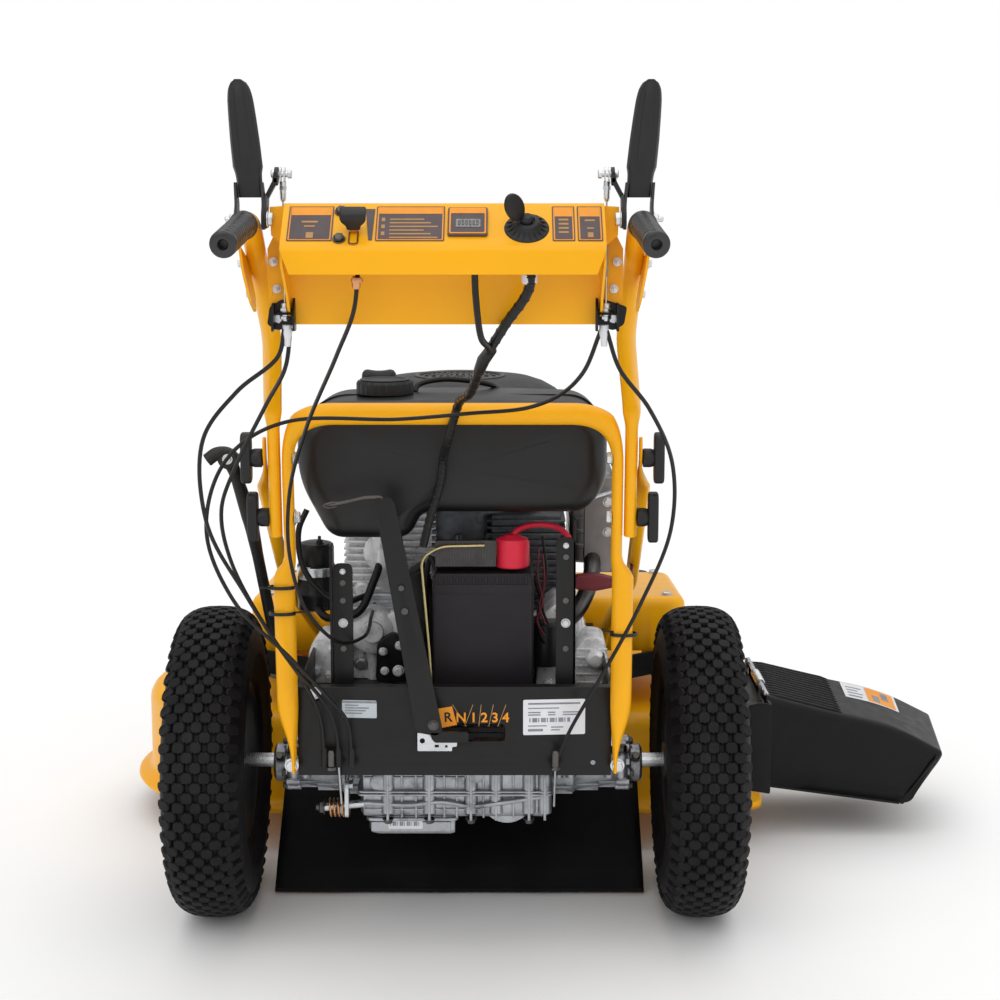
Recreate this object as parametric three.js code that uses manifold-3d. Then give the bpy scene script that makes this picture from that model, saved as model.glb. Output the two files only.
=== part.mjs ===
// Walk-behind rough-cut mower: a wide twin-blade deck in front of two large driven wheels,
// an upright engine, a side discharge chute and a long adjustable handle.
// Millimetres. X is to the operator's right, Y is forward and Z is up. While it is modelled,
// the ground is at Z = 0 and the rear axle is at Y = 0; the last lines centre the whole machine.
import * as THREE from 'three';
import { mergeVertices } from 'three/addons/utils/BufferGeometryUtils.js';
import Module from 'manifold-3d';

const wasm = await Module();
wasm.setup();

// ---- driving dimensions ----
const GAP = 0.3;                      // between solids that touch
const SHEET = 3;                      // thickness of the frame's and the deck's sheet metal
const SIDES = { left: -1, right: 1 };

const WHEEL_R = 203;                  // 16 inch tyre
const WHEEL_W = 93;
const WHEEL_X = 315;                  // middle of each rear tyre
const RIM_R = 101.6;                  // 8 inch rim
const AXLE_R = 9.5;

const PANEL_X = 190;                  // half the width of the frame
const PANEL_Y = -190;                 // outer face of the rear panel
const PANEL_LOW = 242;
const PANEL_HIGH = 353;
const DECKING_Z = 296;                // underside of the plate that carries the engine
const DECKING_FRONT = 268;
const RAIL_LOW = 283;
const RAIL_HIGH = 323;
const NOSE_Y = 860;                   // middle of the front beam
const CASTER_X = 300;
const CASTER_R = 90;
const CASTER_W = 46;
const CASTER_TRAIL = 50;
const CASTER_Y = 912;                 // swivel axis
const BEAM_LOW = 222;
const BEAM_HIGH = 262;

const ENGINE_Y = 190;                 // crankshaft
const ENGINE_BASE = 300.4;
const DECK_TOP = 200;
const DECK_BOTTOM = 62;
const DECK_REAR = 238;
const DECK_RIGHT = 436;
const DECK_LIP = 20;                  // width of the skirt turned out at the deck's foot
const BLADE_LENGTH = 413;
const DECK_R = 219;                   // inside radius of the cutting chambers, plus the sheet
const SPINDLES = {
  left: { x: -266, y: 457 },
  right: { x: 139, y: 557 },
};
const BELT_Z = 233;
const SPINDLE_PULLEY_R = 52;
const ENGINE_PULLEY_R = 38;

const LOOP_R = 12.7;                  // 1 inch tube
const LOOP_X = 200;
const LOOP_TOP = 690;
const LOOP_LEAN = 0.085;              // rearward for each millimetre up
const TUBE_R = 10.5;
const HANDLE_X = 190;
const GRIP_R = 13;
const PIVOT = { x: 191.5, y: -525, z: 918 };    // hinge of the two hand levers
const KNOB_HEIGHTS = { lower: 567, upper: 638 };

const CONSOLE_X = 158;
const CONSOLE_NEAR = [-566, 891];     // [Y, Z] of the edge nearest the operator
const CONSOLE_FAR = [-515, 931];
const CONSOLE_SHEET = 2.5;
const CONSOLE_TILT = Math.atan2(CONSOLE_FAR[1] - CONSOLE_NEAR[1], CONSOLE_FAR[0] - CONSOLE_NEAR[0]);

// ---- looks ----
const look = (color, roughness, metalness = 0) => new THREE.MeshStandardMaterial({ color, roughness, metalness });
const LOOKS = {
  yellow: look(0xf5ad1b, 0.35, 0.1),
  blackPaint: look(0x1b1a1b, 0.5, 0.2),
  plastic: look(0x202022, 0.55),
  rubber: look(0x18181a, 0.85),
  cast: look(0xa3a6a8, 0.45, 0.9),
  steel: look(0x9a9da0, 0.35, 0.95),
  rim: look(0x3a3c3e, 0.5, 0.4),
  jacket: look(0x1c1c1e, 0.6),
};

// ---- solids ----
function weld(geometry) {
  const bare = geometry.clone();
  for (const name of Object.keys(bare.attributes)) {
    if (name !== 'position') {
      bare.deleteAttribute(name);
    }
  }
  const merged = mergeVertices(bare, 1e-3);
  const kept = [];
  const index = merged.index.array;
  for (let i = 0; i < index.length; i += 3) {
    const [a, b, c] = [index[i], index[i + 1], index[i + 2]];
    if (a !== b && b !== c && c !== a) {
      kept.push(a, b, c);
    }
  }
  merged.setIndex(kept);
  return merged;
}

function volumeOf(geometry) {
  const [a, b, c] = [new THREE.Vector3(), new THREE.Vector3(), new THREE.Vector3()];
  const position = geometry.attributes.position;
  const index = geometry.index.array;
  let volume = 0;
  for (let i = 0; i < index.length; i += 3) {
    a.fromBufferAttribute(position, index[i]);
    b.fromBufferAttribute(position, index[i + 1]);
    c.fromBufferAttribute(position, index[i + 2]);
    volume += a.dot(b.cross(c)) / 6;
  }
  return volume;
}

function faceOut(geometry) {
  const closed = weld(geometry);
  if (volumeOf(closed) < 0) {
    closed.setIndex(Array.from(closed.index.array).reverse());
  }
  return closed;
}

function toSolid(geometry) {
  const closed = faceOut(geometry);
  return new wasm.Manifold(new wasm.Mesh({
    numProp: 3,
    vertProperties: new Float32Array(closed.attributes.position.array),
    triVerts: new Uint32Array(closed.index.array),
  }));
}

function toGeometry(solid) {
  const mesh = solid.getMesh();
  const geometry = new THREE.BufferGeometry();
  geometry.setAttribute('position', new THREE.BufferAttribute(new Float32Array(mesh.vertProperties), 3));
  geometry.setIndex(Array.from(mesh.triVerts));
  return geometry;
}

const join = (...pieces) => toGeometry(pieces.map(toSolid).reduce((sum, piece) => sum.add(piece)));
const cut = (body, ...tools) => toGeometry(tools.map(toSolid).reduce((rest, tool) => rest.subtract(tool), toSolid(body)));

// A box from its two corners.
function box(x0, x1, y0, y1, z0, z1) {
  return new THREE.BoxGeometry(x1 - x0, y1 - y0, z1 - z0).translate((x0 + x1) / 2, (y0 + y1) / 2, (z0 + z1) / 2);
}

// A round bar from one point to another.
function rod(radius, from, to, sides = 14) {
  const start = new THREE.Vector3(...from);
  const along = new THREE.Vector3(...to).sub(start);
  const geometry = new THREE.CylinderGeometry(radius, radius, along.length(), sides);
  const turn = new THREE.Quaternion().setFromUnitVectors(new THREE.Vector3(0, 1, 0), along.clone().normalize());
  return geometry.applyQuaternion(turn).translate(...start.addScaledVector(along, 0.5).toArray());
}

function lathe(profile, sides) {
  return new THREE.LatheGeometry(profile.map(([r, h]) => new THREE.Vector2(r, h)), sides);
}
const latheX = (profile, sides) => lathe(profile, sides).rotateZ(-Math.PI / 2);
const latheZ = (profile, sides) => lathe(profile, sides).rotateX(Math.PI / 2);

function outlineShape(points) {
  return new THREE.Shape(points.map(([x, y]) => new THREE.Vector2(x, y)));
}
// An outline of [Y, Z] points, as thick as x0 to x1.
function slabX(points, x0, x1) {
  const geometry = new THREE.ExtrudeGeometry(outlineShape(points), { depth: x1 - x0, bevelEnabled: false });
  return geometry.rotateY(Math.PI / 2).rotateX(Math.PI / 2).translate(x0, 0, 0);
}
// An outline of [X, Z] points, as thick as y0 to y1.
function slabY(points, y0, y1) {
  const geometry = new THREE.ExtrudeGeometry(outlineShape(points), { depth: y1 - y0, bevelEnabled: false });
  return geometry.rotateX(Math.PI / 2).translate(0, y1, 0);
}
// A shape in X and Y, as thick as z0 to z1.
function slabZ(shape, z0, z1, options = {}) {
  return new THREE.ExtrudeGeometry(shape, { depth: z1 - z0, bevelEnabled: false, ...options }).translate(0, 0, z0);
}

function roundedRectangle(x0, x1, y0, y1, r) {
  const shape = new THREE.Shape();
  shape.moveTo(x0 + r, y0);
  shape.absarc(x1 - r, y0 + r, r, -Math.PI / 2, 0);
  shape.absarc(x1 - r, y1 - r, r, 0, Math.PI / 2);
  shape.absarc(x0 + r, y1 - r, r, Math.PI / 2, Math.PI);
  shape.absarc(x0 + r, y0 + r, r, Math.PI, Math.PI * 1.5);
  return shape;
}

// The band that runs round a set of circles {x, y, r}, as a list of points.
function hullOutline(circles, grow = 0, steps = 40) {
  const points = [];
  for (const { x, y, r } of circles) {
    for (let i = 0; i < steps; i += 1) {
      const angle = (i / steps) * Math.PI * 2;
      points.push([x + (r + grow) * Math.cos(angle), y + (r + grow) * Math.sin(angle)]);
    }
  }
  points.sort((a, b) => a[0] - b[0] || a[1] - b[1]);
  const turn = (o, a, b) => (a[0] - o[0]) * (b[1] - o[1]) - (a[1] - o[1]) * (b[0] - o[0]);
  const half = (list) => list.reduce((chain, point) => {
    while (chain.length > 1 && turn(chain[chain.length - 2], chain[chain.length - 1], point) <= 1e-6) {
      chain.pop();
    }
    return [...chain, point];
  }, []);
  return [...half(points).slice(0, -1), ...half([...points].reverse()).slice(0, -1)];
}

// A path of straight runs with its corners bent to a radius.
function bentPath(points, bend) {
  const corners = points.map((point) => new THREE.Vector3(...point));
  const path = new THREE.CurvePath();
  let from = corners[0];
  for (let i = 1; i < corners.length - 1; i += 1) {
    const before = corners[i].clone().addScaledVector(corners[i - 1].clone().sub(corners[i]).normalize(), bend);
    const after = corners[i].clone().addScaledVector(corners[i + 1].clone().sub(corners[i]).normalize(), bend);
    path.add(new THREE.LineCurve3(from, before));
    path.add(new THREE.QuadraticBezierCurve3(before, corners[i], after));
    from = after;
  }
  path.add(new THREE.LineCurve3(from, corners[corners.length - 1]));
  return path;
}

function sweep(path, radius, steps, sides) {
  const circle = new THREE.Shape(
    Array.from({ length: sides }, (_, i) => {
      const angle = (i / sides) * Math.PI * 2;
      return new THREE.Vector2(radius * Math.cos(angle), radius * Math.sin(angle));
    }),
  );
  return faceOut(new THREE.ExtrudeGeometry(circle, { steps, bevelEnabled: false, extrudePath: path }));
}
const cord = (points, radius, steps, sides) => sweep(
  new THREE.CatmullRomCurve3(points.map((point) => new THREE.Vector3(...point)), false, 'centripetal'), radius, steps, sides);

// Presses a tube flatter in X: between two heights its middle moves from one place to another,
// and its radius becomes a smaller half thickness.
function press(geometry, side, { low, high, blend, from, to, radius, half }) {
  const position = geometry.attributes.position;
  for (let i = 0; i < position.count; i += 1) {
    const z = position.getZ(i);
    const inside = Math.min(THREE.MathUtils.smoothstep(z, low - blend, low), 1 - THREE.MathUtils.smoothstep(z, high, high + blend));
    const offset = side * position.getX(i) - from;
    const core = THREE.MathUtils.clamp(offset, -radius, radius);
    const pressed = to + core * (half / radius) + offset - core;
    position.setX(i, side * THREE.MathUtils.lerp(from + offset, pressed, inside));
  }
  return geometry;
}

// ---- the scene graph ----
const machine = new THREE.Group();
function add(name, geometry, material, place = [0, 0, 0]) {
  const mesh = new THREE.Mesh(faceOut(geometry), material);
  mesh.name = name;
  mesh.position.set(...place);
  machine.add(mesh);
  return mesh;
}

// ---- rear wheels ----
function tyreGeometry() {
  const half = WHEEL_W / 2;
  const outside = [[103, -36], [128, -43.5], [158, -half], [186, -42], [197, -32], [WHEEL_R, -11]];
  const mirrored = [...outside].reverse().map(([r, x]) => [r, -x]);
  const inside = [[112, 31], [186, 31], [186, -31], [112, -31]];
  return latheX([...outside, ...mirrored, ...inside, outside[0]], 24);
}

function rimGeometry(side) {
  const disc = side * 8;
  const bore = AXLE_R + GAP;
  const profile = [
    [RIM_R, -37], [RIM_R, 37], [97, 37], [92, disc + 4], [34, disc + 4], [30, 30], [bore, 30],
    [bore, -46], [24, -46], [26, disc - 2], [92, disc - 2], [97, -37], [RIM_R, -37],
  ];
  return latheX(profile, 18);
}

for (const [name, side] of Object.entries(SIDES)) {
  const place = [side * WHEEL_X, 0, WHEEL_R];
  add(`tyre_${name}`, tyreGeometry(), LOOKS.rubber, place);
  add(`rim_${name}`, rimGeometry(side), LOOKS.rim, place);
  const axle = rod(AXLE_R, [side * (240 - WHEEL_X), 0, 0], [side * 36, 0, 0], 14);
  add(`axle_${name}`, axle, LOOKS.steel, place);
}

// ---- transmission ----
function transmissionGeometry() {
  const rounded = (x0, x1, y0, y1, z0, z1, bevel) => slabZ(
    roundedRectangle(x0 + bevel, x1 - bevel, y0 + bevel, y1 - bevel, 8), z0 + bevel, z1 - bevel,
    { bevelEnabled: true, bevelSize: bevel, bevelThickness: bevel, bevelSegments: 1, curveSegments: 2 });
  const body = rounded(-123, 119, -88, 80, 150, 238, 10);
  const sump = rounded(-112, -5, -80, 62, 127, 190, 12);
  const gearcase = rod(34, [64, -92, 178], [64, 40, 178], 16);
  const axleTube = rod(26, [-236, 0, WHEEL_R], [236, 0, WHEEL_R], 16);
  const flanges = [-150, 150].map((x) => rod(36, [x - 9, 0, WHEEL_R], [x + 9, 0, WHEEL_R], 16));
  const hangers = [-170, 170].map((x) => box(x - 16, x + 16, -62, 62, 228, 241.5));
  const posts = [-170, 170].map((x) => box(x - 12, x + 12, -20, 20, 205, 236));
  return join(body, sump, gearcase, axleTube, ...flanges, ...hangers, ...posts);
}
add('transmission_case', transmissionGeometry(), LOOKS.cast);

// ---- main frame ----
const SHIFT = { x: 25, y: -180, z: 250, reach: 46, neutral: THREE.MathUtils.degToRad(-15.36) };
const FLAP = { x: 250, y: 200, z: 119 };
const CRANK_HOLE_R = 34;

function sidePlate(side) {
  const outline = [
    [PANEL_Y, PANEL_LOW], [60, PANEL_LOW], [120, RAIL_LOW - 20], [230, RAIL_LOW], [600, RAIL_LOW], [700, 243],
    [NOSE_Y - 26, 243], [NOSE_Y - 26, 262], [715, 270], [610, RAIL_HIGH], [230, RAIL_HIGH], [60, PANEL_HIGH],
    [PANEL_Y, PANEL_HIGH],
  ];
  const x = side * (PANEL_X - SHEET / 2);
  return slabX(outline, x - SHEET / 2, x + SHEET / 2);
}

function mainFrameGeometry() {
  const inner = PANEL_X - SHEET;
  const rear = box(-PANEL_X, PANEL_X, PANEL_Y, PANEL_Y + SHEET, PANEL_LOW, PANEL_HIGH);
  const lip = box(-PANEL_X, PANEL_X, PANEL_Y, PANEL_Y + 16, PANEL_HIGH - SHEET, PANEL_HIGH);
  const plate = box(-PANEL_X, PANEL_X, -160, DECKING_FRONT, DECKING_Z, ENGINE_BASE - 0.4);
  const sides = Object.values(SIDES).map(sidePlate);
  const flanges = Object.values(SIDES).map((side) => box(
    Math.min(side * inner, side * (inner - 22)), Math.max(side * inner, side * (inner - 22)),
    DECKING_FRONT - 6, 600, RAIL_HIGH - SHEET, RAIL_HIGH));
  const seats = Object.values(SIDES).map((side) => box(side * 170 - 20, side * 170 + 20, -66, 66, PANEL_LOW, PANEL_LOW + SHEET));
  const hangers = Object.values(SIDES).map((side) => box(
    side * 176 - 14, side * 176 + 14, FLAP.y + 11, FLAP.y + 14, FLAP.z - 8, DECKING_Z + 1));
  const crossBar = box(-190, 190, FLAP.y + 11, FLAP.y + 14, FLAP.z - 8, FLAP.z + 22);
  const tie = box(-PANEL_X, PANEL_X, 596, 600, RAIL_LOW, RAIL_HIGH);
  const slot = box(-14, 61, PANEL_Y - 2, PANEL_Y + SHEET + 2, 285, 306);
  const crank = rod(CRANK_HOLE_R, [0, ENGINE_Y, DECKING_Z - 2], [0, ENGINE_Y, ENGINE_BASE + 2], 20);
  return cut(join(rear, lip, plate, ...sides, ...flanges, ...seats, ...hangers, crossBar, tie), slot, crank);
}
add('main_frame', mainFrameGeometry(), LOOKS.blackPaint);

// ---- front beam and casters ----
const STEM_R = 12;
function frontBeamGeometry() {
  const tube = box(-330, 330, NOSE_Y - 25, NOSE_Y + 25, BEAM_LOW, BEAM_HIGH);
  const sleeves = Object.values(SIDES).map((side) => rod(24, [side * CASTER_X, CASTER_Y, 206], [side * CASTER_X, CASTER_Y, 264], 16));
  const webs = Object.values(SIDES).map((side) => box(
    side * CASTER_X - 16, side * CASTER_X + 16, NOSE_Y + 20, CASTER_Y, BEAM_LOW + 2, BEAM_HIGH - 2));
  const bores = Object.values(SIDES).map((side) => rod(STEM_R + GAP, [side * CASTER_X, CASTER_Y, 200], [side * CASTER_X, CASTER_Y, 270], 16));
  return cut(join(tube, ...sleeves, ...webs), ...bores);
}
add('front_beam', frontBeamGeometry(), LOOKS.blackPaint);

function casterForkGeometry() {
  const inside = CASTER_W / 2 + 5;
  const crown = box(-inside - 5, inside + 5, -CASTER_TRAIL - 14, 24, 194, 205.6);
  const legs = [-1, 1].map((side) => slabX(
    [[-CASTER_TRAIL - 14, 200], [24, 200], [-CASTER_TRAIL + 16, 84], [-CASTER_TRAIL, 76], [-CASTER_TRAIL - 16, 84]],
    side * (inside + 2.5) - 2.5, side * (inside + 2.5) + 2.5));
  const stem = rod(STEM_R, [0, 0, 200], [0, 0, 267], 16);
  const cap = rod(19, [0, 0, 264.4], [0, 0, 268], 16);
  const axle = rod(6, [-inside - 8, -CASTER_TRAIL, CASTER_R], [inside + 8, -CASTER_TRAIL, CASTER_R], 16);
  return join(crown, ...legs, stem, cap, axle);
}

function casterWheelGeometry() {
  const half = CASTER_W / 2;
  return latheX([
    [6 + GAP, -half], [16, -half], [20, -9], [52, -9], [60, -19], [80, -18], [CASTER_R, -6],
    [CASTER_R, 6], [80, 18], [60, 19], [52, 9], [20, 9], [16, half], [6 + GAP, half], [6 + GAP, -half],
  ], 16);
}

for (const [name, side] of Object.entries(SIDES)) {
  add(`caster_fork_${name}`, casterForkGeometry(), LOOKS.blackPaint, [side * CASTER_X, CASTER_Y, 0]);
  add(`caster_wheel_${name}`, casterWheelGeometry(), LOOKS.rubber, [side * CASTER_X, CASTER_Y - CASTER_TRAIL, CASTER_R]);
}

// ---- deck ----
const CHAMBERS = [
  { ...SPINDLES.left, r: DECK_R },
  { ...SPINDLES.right, r: DECK_R },
  { x: DECK_RIGHT - 26, y: DECK_REAR + 26, r: 26 },
  { x: DECK_RIGHT - 26, y: 505, r: 26 },
];
const CHUTE = { x: 448, y0: 274, y1: 490, wall: 3.5 };
const MOUTH = { rear: 296, front: 474, low: DECK_BOTTOM - 10, high: DECK_TOP - 18 };

function deckShellGeometry() {
  const rim = 22;
  const shape = (grow, steps = 24) => outlineShape(hullOutline(CHAMBERS, grow, steps));
  const bevel = { bevelEnabled: true, bevelSize: rim, bevelThickness: rim, bevelSegments: 2 };
  const outer = slabZ(shape(-rim), DECK_BOTTOM - 60, DECK_TOP - rim, bevel);
  const inner = slabZ(shape(-rim - SHEET), DECK_BOTTOM - 90, DECK_TOP - rim - SHEET, bevel);
  const below = box(-900, 900, -200, 1200, -200, DECK_BOTTOM);
  const lip = slabZ(shape(DECK_LIP), DECK_BOTTOM - 7, DECK_BOTTOM + 1);
  const lipHole = slabZ(shape(-SHEET), DECK_BOTTOM - 20, DECK_BOTTOM + 20);
  const pads = Object.values(SPINDLES).map(({ x, y }) => rod(40, [x, y, DECK_TOP - 2], [x, y, DECK_TOP + 8], 20));
  const bores = Object.values(SPINDLES).map(({ x, y }) => rod(13, [x, y, DECK_TOP - 30], [x, y, DECK_TOP + 30], 16));
  const mouth = box(DECK_RIGHT - 40, DECK_RIGHT + 40, MOUTH.rear, MOUTH.front, MOUTH.low, MOUTH.high);
  const chuteRoom = box(DECK_RIGHT + 1.5, DECK_RIGHT + 50, CHUTE.y0 - 4, CHUTE.y1 + 4, DECK_BOTTOM - 12, DECK_BOTTOM + 8);
  const skin = cut(outer, inner, below);
  const skirt = cut(lip, lipHole, chuteRoom);
  return cut(join(skin, skirt, ...pads), ...bores, mouth);
}
add('deck_shell', deckShellGeometry(), LOOKS.yellow);

function pulleyProfile(radius) {
  const flange = radius + 8;
  return [[0, -9], [flange, -9], [flange, -5.5], [radius, -5.5], [radius, 5.5], [flange, 5.5], [flange, 9], [0, 9]];
}

for (const [name, { x, y }] of Object.entries(SPINDLES)) {
  const pulley = latheZ(pulleyProfile(SPINDLE_PULLEY_R), 20).translate(0, 0, BELT_Z);
  const shaft = rod(12, [0, 0, 84], [0, 0, BELT_Z + 14], 14);
  const hub = rod(26, [0, 0, 84], [0, 0, 98], 16);
  add(`spindle_${name}`, join(pulley, shaft, hub), LOOKS.steel, [x, y, 0]);
}

// Each blade is a flat bar with lifted, tapered ends and a hole for its bolt.
function bladeGeometry() {
  const half = BLADE_LENGTH / 2;
  const bar = box(-half, half, -28, 28, 78, 83.6);
  const cuts = [-1, 1].map((end) => slabZ(outlineShape(
    end > 0
      ? [[half - 95, 28.1], [half + 1, 12], [half + 1, 40], [half - 95, 40]]
      : [[-half + 95, -28.1], [-half - 1, -12], [-half - 1, -40], [-half + 95, -40]]), 70, 90));
  const wings = [-1, 1].map((end) => slabX(
    [[-end * 27, 82], [-end * 27, 78.5], [-end * 10, 78.5], [-end * 20, 83], [-end * 27, 98], [-end * 28, 98]],
    end > 0 ? half - 62 : -half + 2, end > 0 ? half - 2 : -half + 62));
  const hole = rod(8, [0, 0, 70], [0, 0, 90], 16);
  return cut(join(cut(bar, ...cuts), ...wings), hole);
}
for (const [name, { x, y }] of Object.entries(SPINDLES)) {
  add(`blade_${name}`, bladeGeometry(), LOOKS.steel, [x, y, 0]);
}

// The engine's pulley and shaft, and the belt round it and both spindle pulleys.
const crankPulley = latheZ(pulleyProfile(ENGINE_PULLEY_R), 18).translate(0, 0, BELT_Z);
add('engine_pulley', join(crankPulley, rod(14, [0, 0, BELT_Z - 14], [0, 0, ENGINE_BASE - GAP], 14)), LOOKS.steel, [0, ENGINE_Y, 0]);

function beltGeometry() {
  const pulleys = [
    { x: 0, y: ENGINE_Y, r: ENGINE_PULLEY_R },
    ...Object.values(SPINDLES).map(({ x, y }) => ({ x, y, r: SPINDLE_PULLEY_R })),
  ];
  const outer = slabZ(outlineShape(hullOutline(pulleys, 7, 36)), BELT_Z - 5, BELT_Z + 5);
  const inner = slabZ(outlineShape(hullOutline(pulleys, 0.4, 36)), BELT_Z - 9, BELT_Z + 9);
  return cut(outer, inner);
}
add('deck_belt', beltGeometry(), LOOKS.rubber);

// ---- belt cover ----
const COVER = { x0: -307, x1: 325, y0: 276, y1: 566, low: 250, rear: 361, front: 340 };
function beltCoverGeometry() {
  const shape = (inset) => roundedRectangle(COVER.x0 + inset, COVER.x1 - inset, COVER.y0 + inset, COVER.y1 - inset, 26 - inset);
  const outer = slabZ(shape(0), COVER.low, COVER.rear + 20, { curveSegments: 6 });
  const inner = slabZ(shape(2.5), COVER.low - 5, COVER.rear + 16, { curveSegments: 6 });
  const above = (drop) => slabX([
    [COVER.y0 - 50, COVER.rear - drop + 3.6], [COVER.y1 + 50, COVER.front - drop - 3.6], [COVER.y1 + 50, 600], [COVER.y0 - 50, 600],
  ], -500, 500);
  const rearGap = box(-262, 262, COVER.y0 - 5, COVER.y0 + 40, COVER.low - 5, 282);
  const railGaps = Object.values(SIDES).map((side) => box(
    side * 178 - 18, side * 178 + 18, COVER.y0 - 5, COVER.y0 + 40, 270, RAIL_HIGH + 3));
  const frontGap = box(-110, SPINDLES.right.x + 76, COVER.y1 - 40, COVER.y1 + 5, COVER.low - 5, 276);
  const leftGap = box(COVER.x0 - 5, COVER.x0 + 40, SPINDLES.left.y - 76, SPINDLES.left.y + 76, COVER.low - 5, 276);
  const frontGaps = Object.values(SIDES).map((side) => box(
    side * 178 - 18, side * 178 + 18, COVER.y1 - 40, COVER.y1 + 5, RAIL_LOW - 3, RAIL_HIGH + 3));
  return cut(cut(outer, above(0)), cut(inner, above(2.5)), rearGap, frontGap, leftGap, ...railGaps, ...frontGaps);
}
add('belt_cover', beltCoverGeometry(), LOOKS.yellow);

// ---- discharge chute ----
function chuteGeometry() {
  const outline = [[0, 214], [0, 78], [207, 50], [252, 112], [259, 126], [184, 168], [97, 188]];
  const hollow = [[-5, 208], [-5, 60], [203, 30], [248, 113], [253, 125], [183, 164.2], [96, 184.2]];
  const skew = (geometry) => {
    const position = geometry.attributes.position;
    for (let i = 0; i < position.count; i += 1) {
      const forward = (position.getY(i) - CHUTE.y0) / (CHUTE.y1 - CHUTE.y0);
      position.setX(i, position.getX(i) * (1 + 0.14 * forward));
    }
    return geometry;
  };
  const body = skew(slabY(outline, CHUTE.y0, CHUTE.y1));
  const inside = skew(slabY(hollow, CHUTE.y0 + CHUTE.wall, CHUTE.y1 - CHUTE.wall));
  const open = skew(slabY([[-5, 205], [-5, 40], [195, 20], [200, 46], [4, 74]], CHUTE.y0 + CHUTE.wall, CHUTE.y1 - CHUTE.wall));
  return cut(body, inside, open);
}
add('chute', chuteGeometry(), LOOKS.plastic, [CHUTE.x, 0, 0]);

// ---- trail shield: a rubber sheet on a rod, which trails back to the ground ----
function trailShieldGeometry() {
  const thick = 4;
  const [top, bend, foot] = [[FLAP.y - 8, FLAP.z], [66, 27], [40, 5]];
  const sheet = slabX([top, bend, foot, [foot[0] + 3, foot[1] - 2.5], [bend[0] + 3, bend[1] - thick], [top[0] + 2, top[1] - thick]], -250, 250);
  const bar = rod(7, [-258, FLAP.y - 6, FLAP.z], [258, FLAP.y - 6, FLAP.z], 16);
  return join(sheet, bar);
}
add('trail_shield', trailShieldGeometry(), LOOKS.rubber);

// ---- lower handle: one bent tube, pressed flat where it is bolted ----
const loopY = (z) => -196 - (z - 251) * LOOP_LEAN;
function lowerHandleGeometry() {
  const leg = (side, z) => [side * LOOP_X, loopY(z), z];
  const path = bentPath([leg(-1, 251), leg(-1, LOOP_TOP), leg(1, LOOP_TOP), leg(1, 251)], 62);
  const tube = sweep(path, LOOP_R, 40, 8);
  const position = tube.attributes.position;
  for (const side of [-1, 1]) {
    const half = new Set();
    for (let i = 0; i < position.count; i += 1) {
      if (side * position.getX(i) > 0) {
        half.add(i);
      }
    }
    const saved = Float32Array.from(position.array);
    press(tube, side, { low: 518, high: 690, blend: 24, from: LOOP_X, to: 192, radius: LOOP_R, half: 6.7 });
    press(tube, side, { low: 240, high: 262, blend: 78, from: LOOP_X, to: 194.2, radius: LOOP_R, half: 3 });
    for (let i = 0; i < position.count; i += 1) {
      if (!half.has(i)) {
        position.setX(i, saved[i * 3]);
      }
    }
  }
  return tube;
}
add('lower_handle', lowerHandleGeometry(), LOOKS.yellow);

for (const [name, side] of Object.entries(SIDES)) {
  const path = bentPath([
    [side * 226, -186, 634], [side * 227, -170, 600], [side * 230, 70, 428], [side * 204, 216, 330], [side * 200, 236, 303],
  ], 22);
  add(`handle_brace_${name}`, sweep(path, 8.5, 14, 8), LOOKS.yellow);
}

// ---- tank, its two uprights, and the battery ----
function fuelTankGeometry() {
  const bevel = 26;
  const outline = [
    [-191 + bevel, 606], [-160 + bevel, 524 + bevel], [-58 - bevel, 524 + bevel], [-42, 557 + bevel],
    [185 - bevel - 24, 557 + bevel], [185 - bevel, 600], [185 - bevel, 652], [150, 690 - bevel], [-150, 690 - bevel], [-191 + bevel, 654],
  ];
  const shape = outlineShape(outline);
  const geometry = new THREE.ExtrudeGeometry(shape, {
    depth: 185 - 2 * bevel, bevelEnabled: true, bevelSize: bevel, bevelThickness: bevel, bevelSegments: 2,
  });
  const tank = geometry.rotateX(Math.PI / 2).translate(0, 35 - bevel, 0);
  const neck = rod(27, [-88, -60, 670], [-88, -60, 693], 16);
  return join(tank, neck);
}
add('fuel_tank', fuelTankGeometry(), LOOKS.plastic);
add('fuel_cap', latheZ([[0, 0], [34, 0], [36, 2], [36, 15], [32, 19], [0, 20]], 28), LOOKS.plastic, [-88, -60, 693.4]);

const UPRIGHTS = { left: { x: -138, top: 520 }, right: { x: 133, top: 552 } };
for (const [name, { x, top }] of Object.entries(UPRIGHTS)) {
  const plate = box(x - 14, x + 14, -155, -152, ENGINE_BASE, top - 20);
  const flangeX = name === 'left' ? x - 14 : x + 11;
  const flange = box(flangeX, flangeX + 3, -155, -128, ENGINE_BASE, top);
  const foot = box(x - 14, x + 14, -155, -128, ENGINE_BASE, ENGINE_BASE + 3);
  add(`tank_upright_${name}`, join(plate, flange, foot), LOOKS.blackPaint);
}
add('battery', slabZ(roundedRectangle(-28, 97, -148, 30, 5), ENGINE_BASE, 483, { curveSegments: 2 }), LOOKS.plastic);

// ---- engine ----
function engineBlockGeometry() {
  const sump = slabZ(roundedRectangle(-160, 172, 48, 262, 30), ENGINE_BASE, 388, { curveSegments: 5 });
  const crankcase = rod(104, [0, ENGINE_Y, 380], [0, ENGINE_Y, 576], 24);
  const cylinder = box(-150, -30, 62, 180, 380, 545);
  const head = box(40, 140, 70, 150, 380, 520);
  return join(sump, crankcase, cylinder, head);
}
add('engine_block', engineBlockGeometry(), LOOKS.cast);

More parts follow.
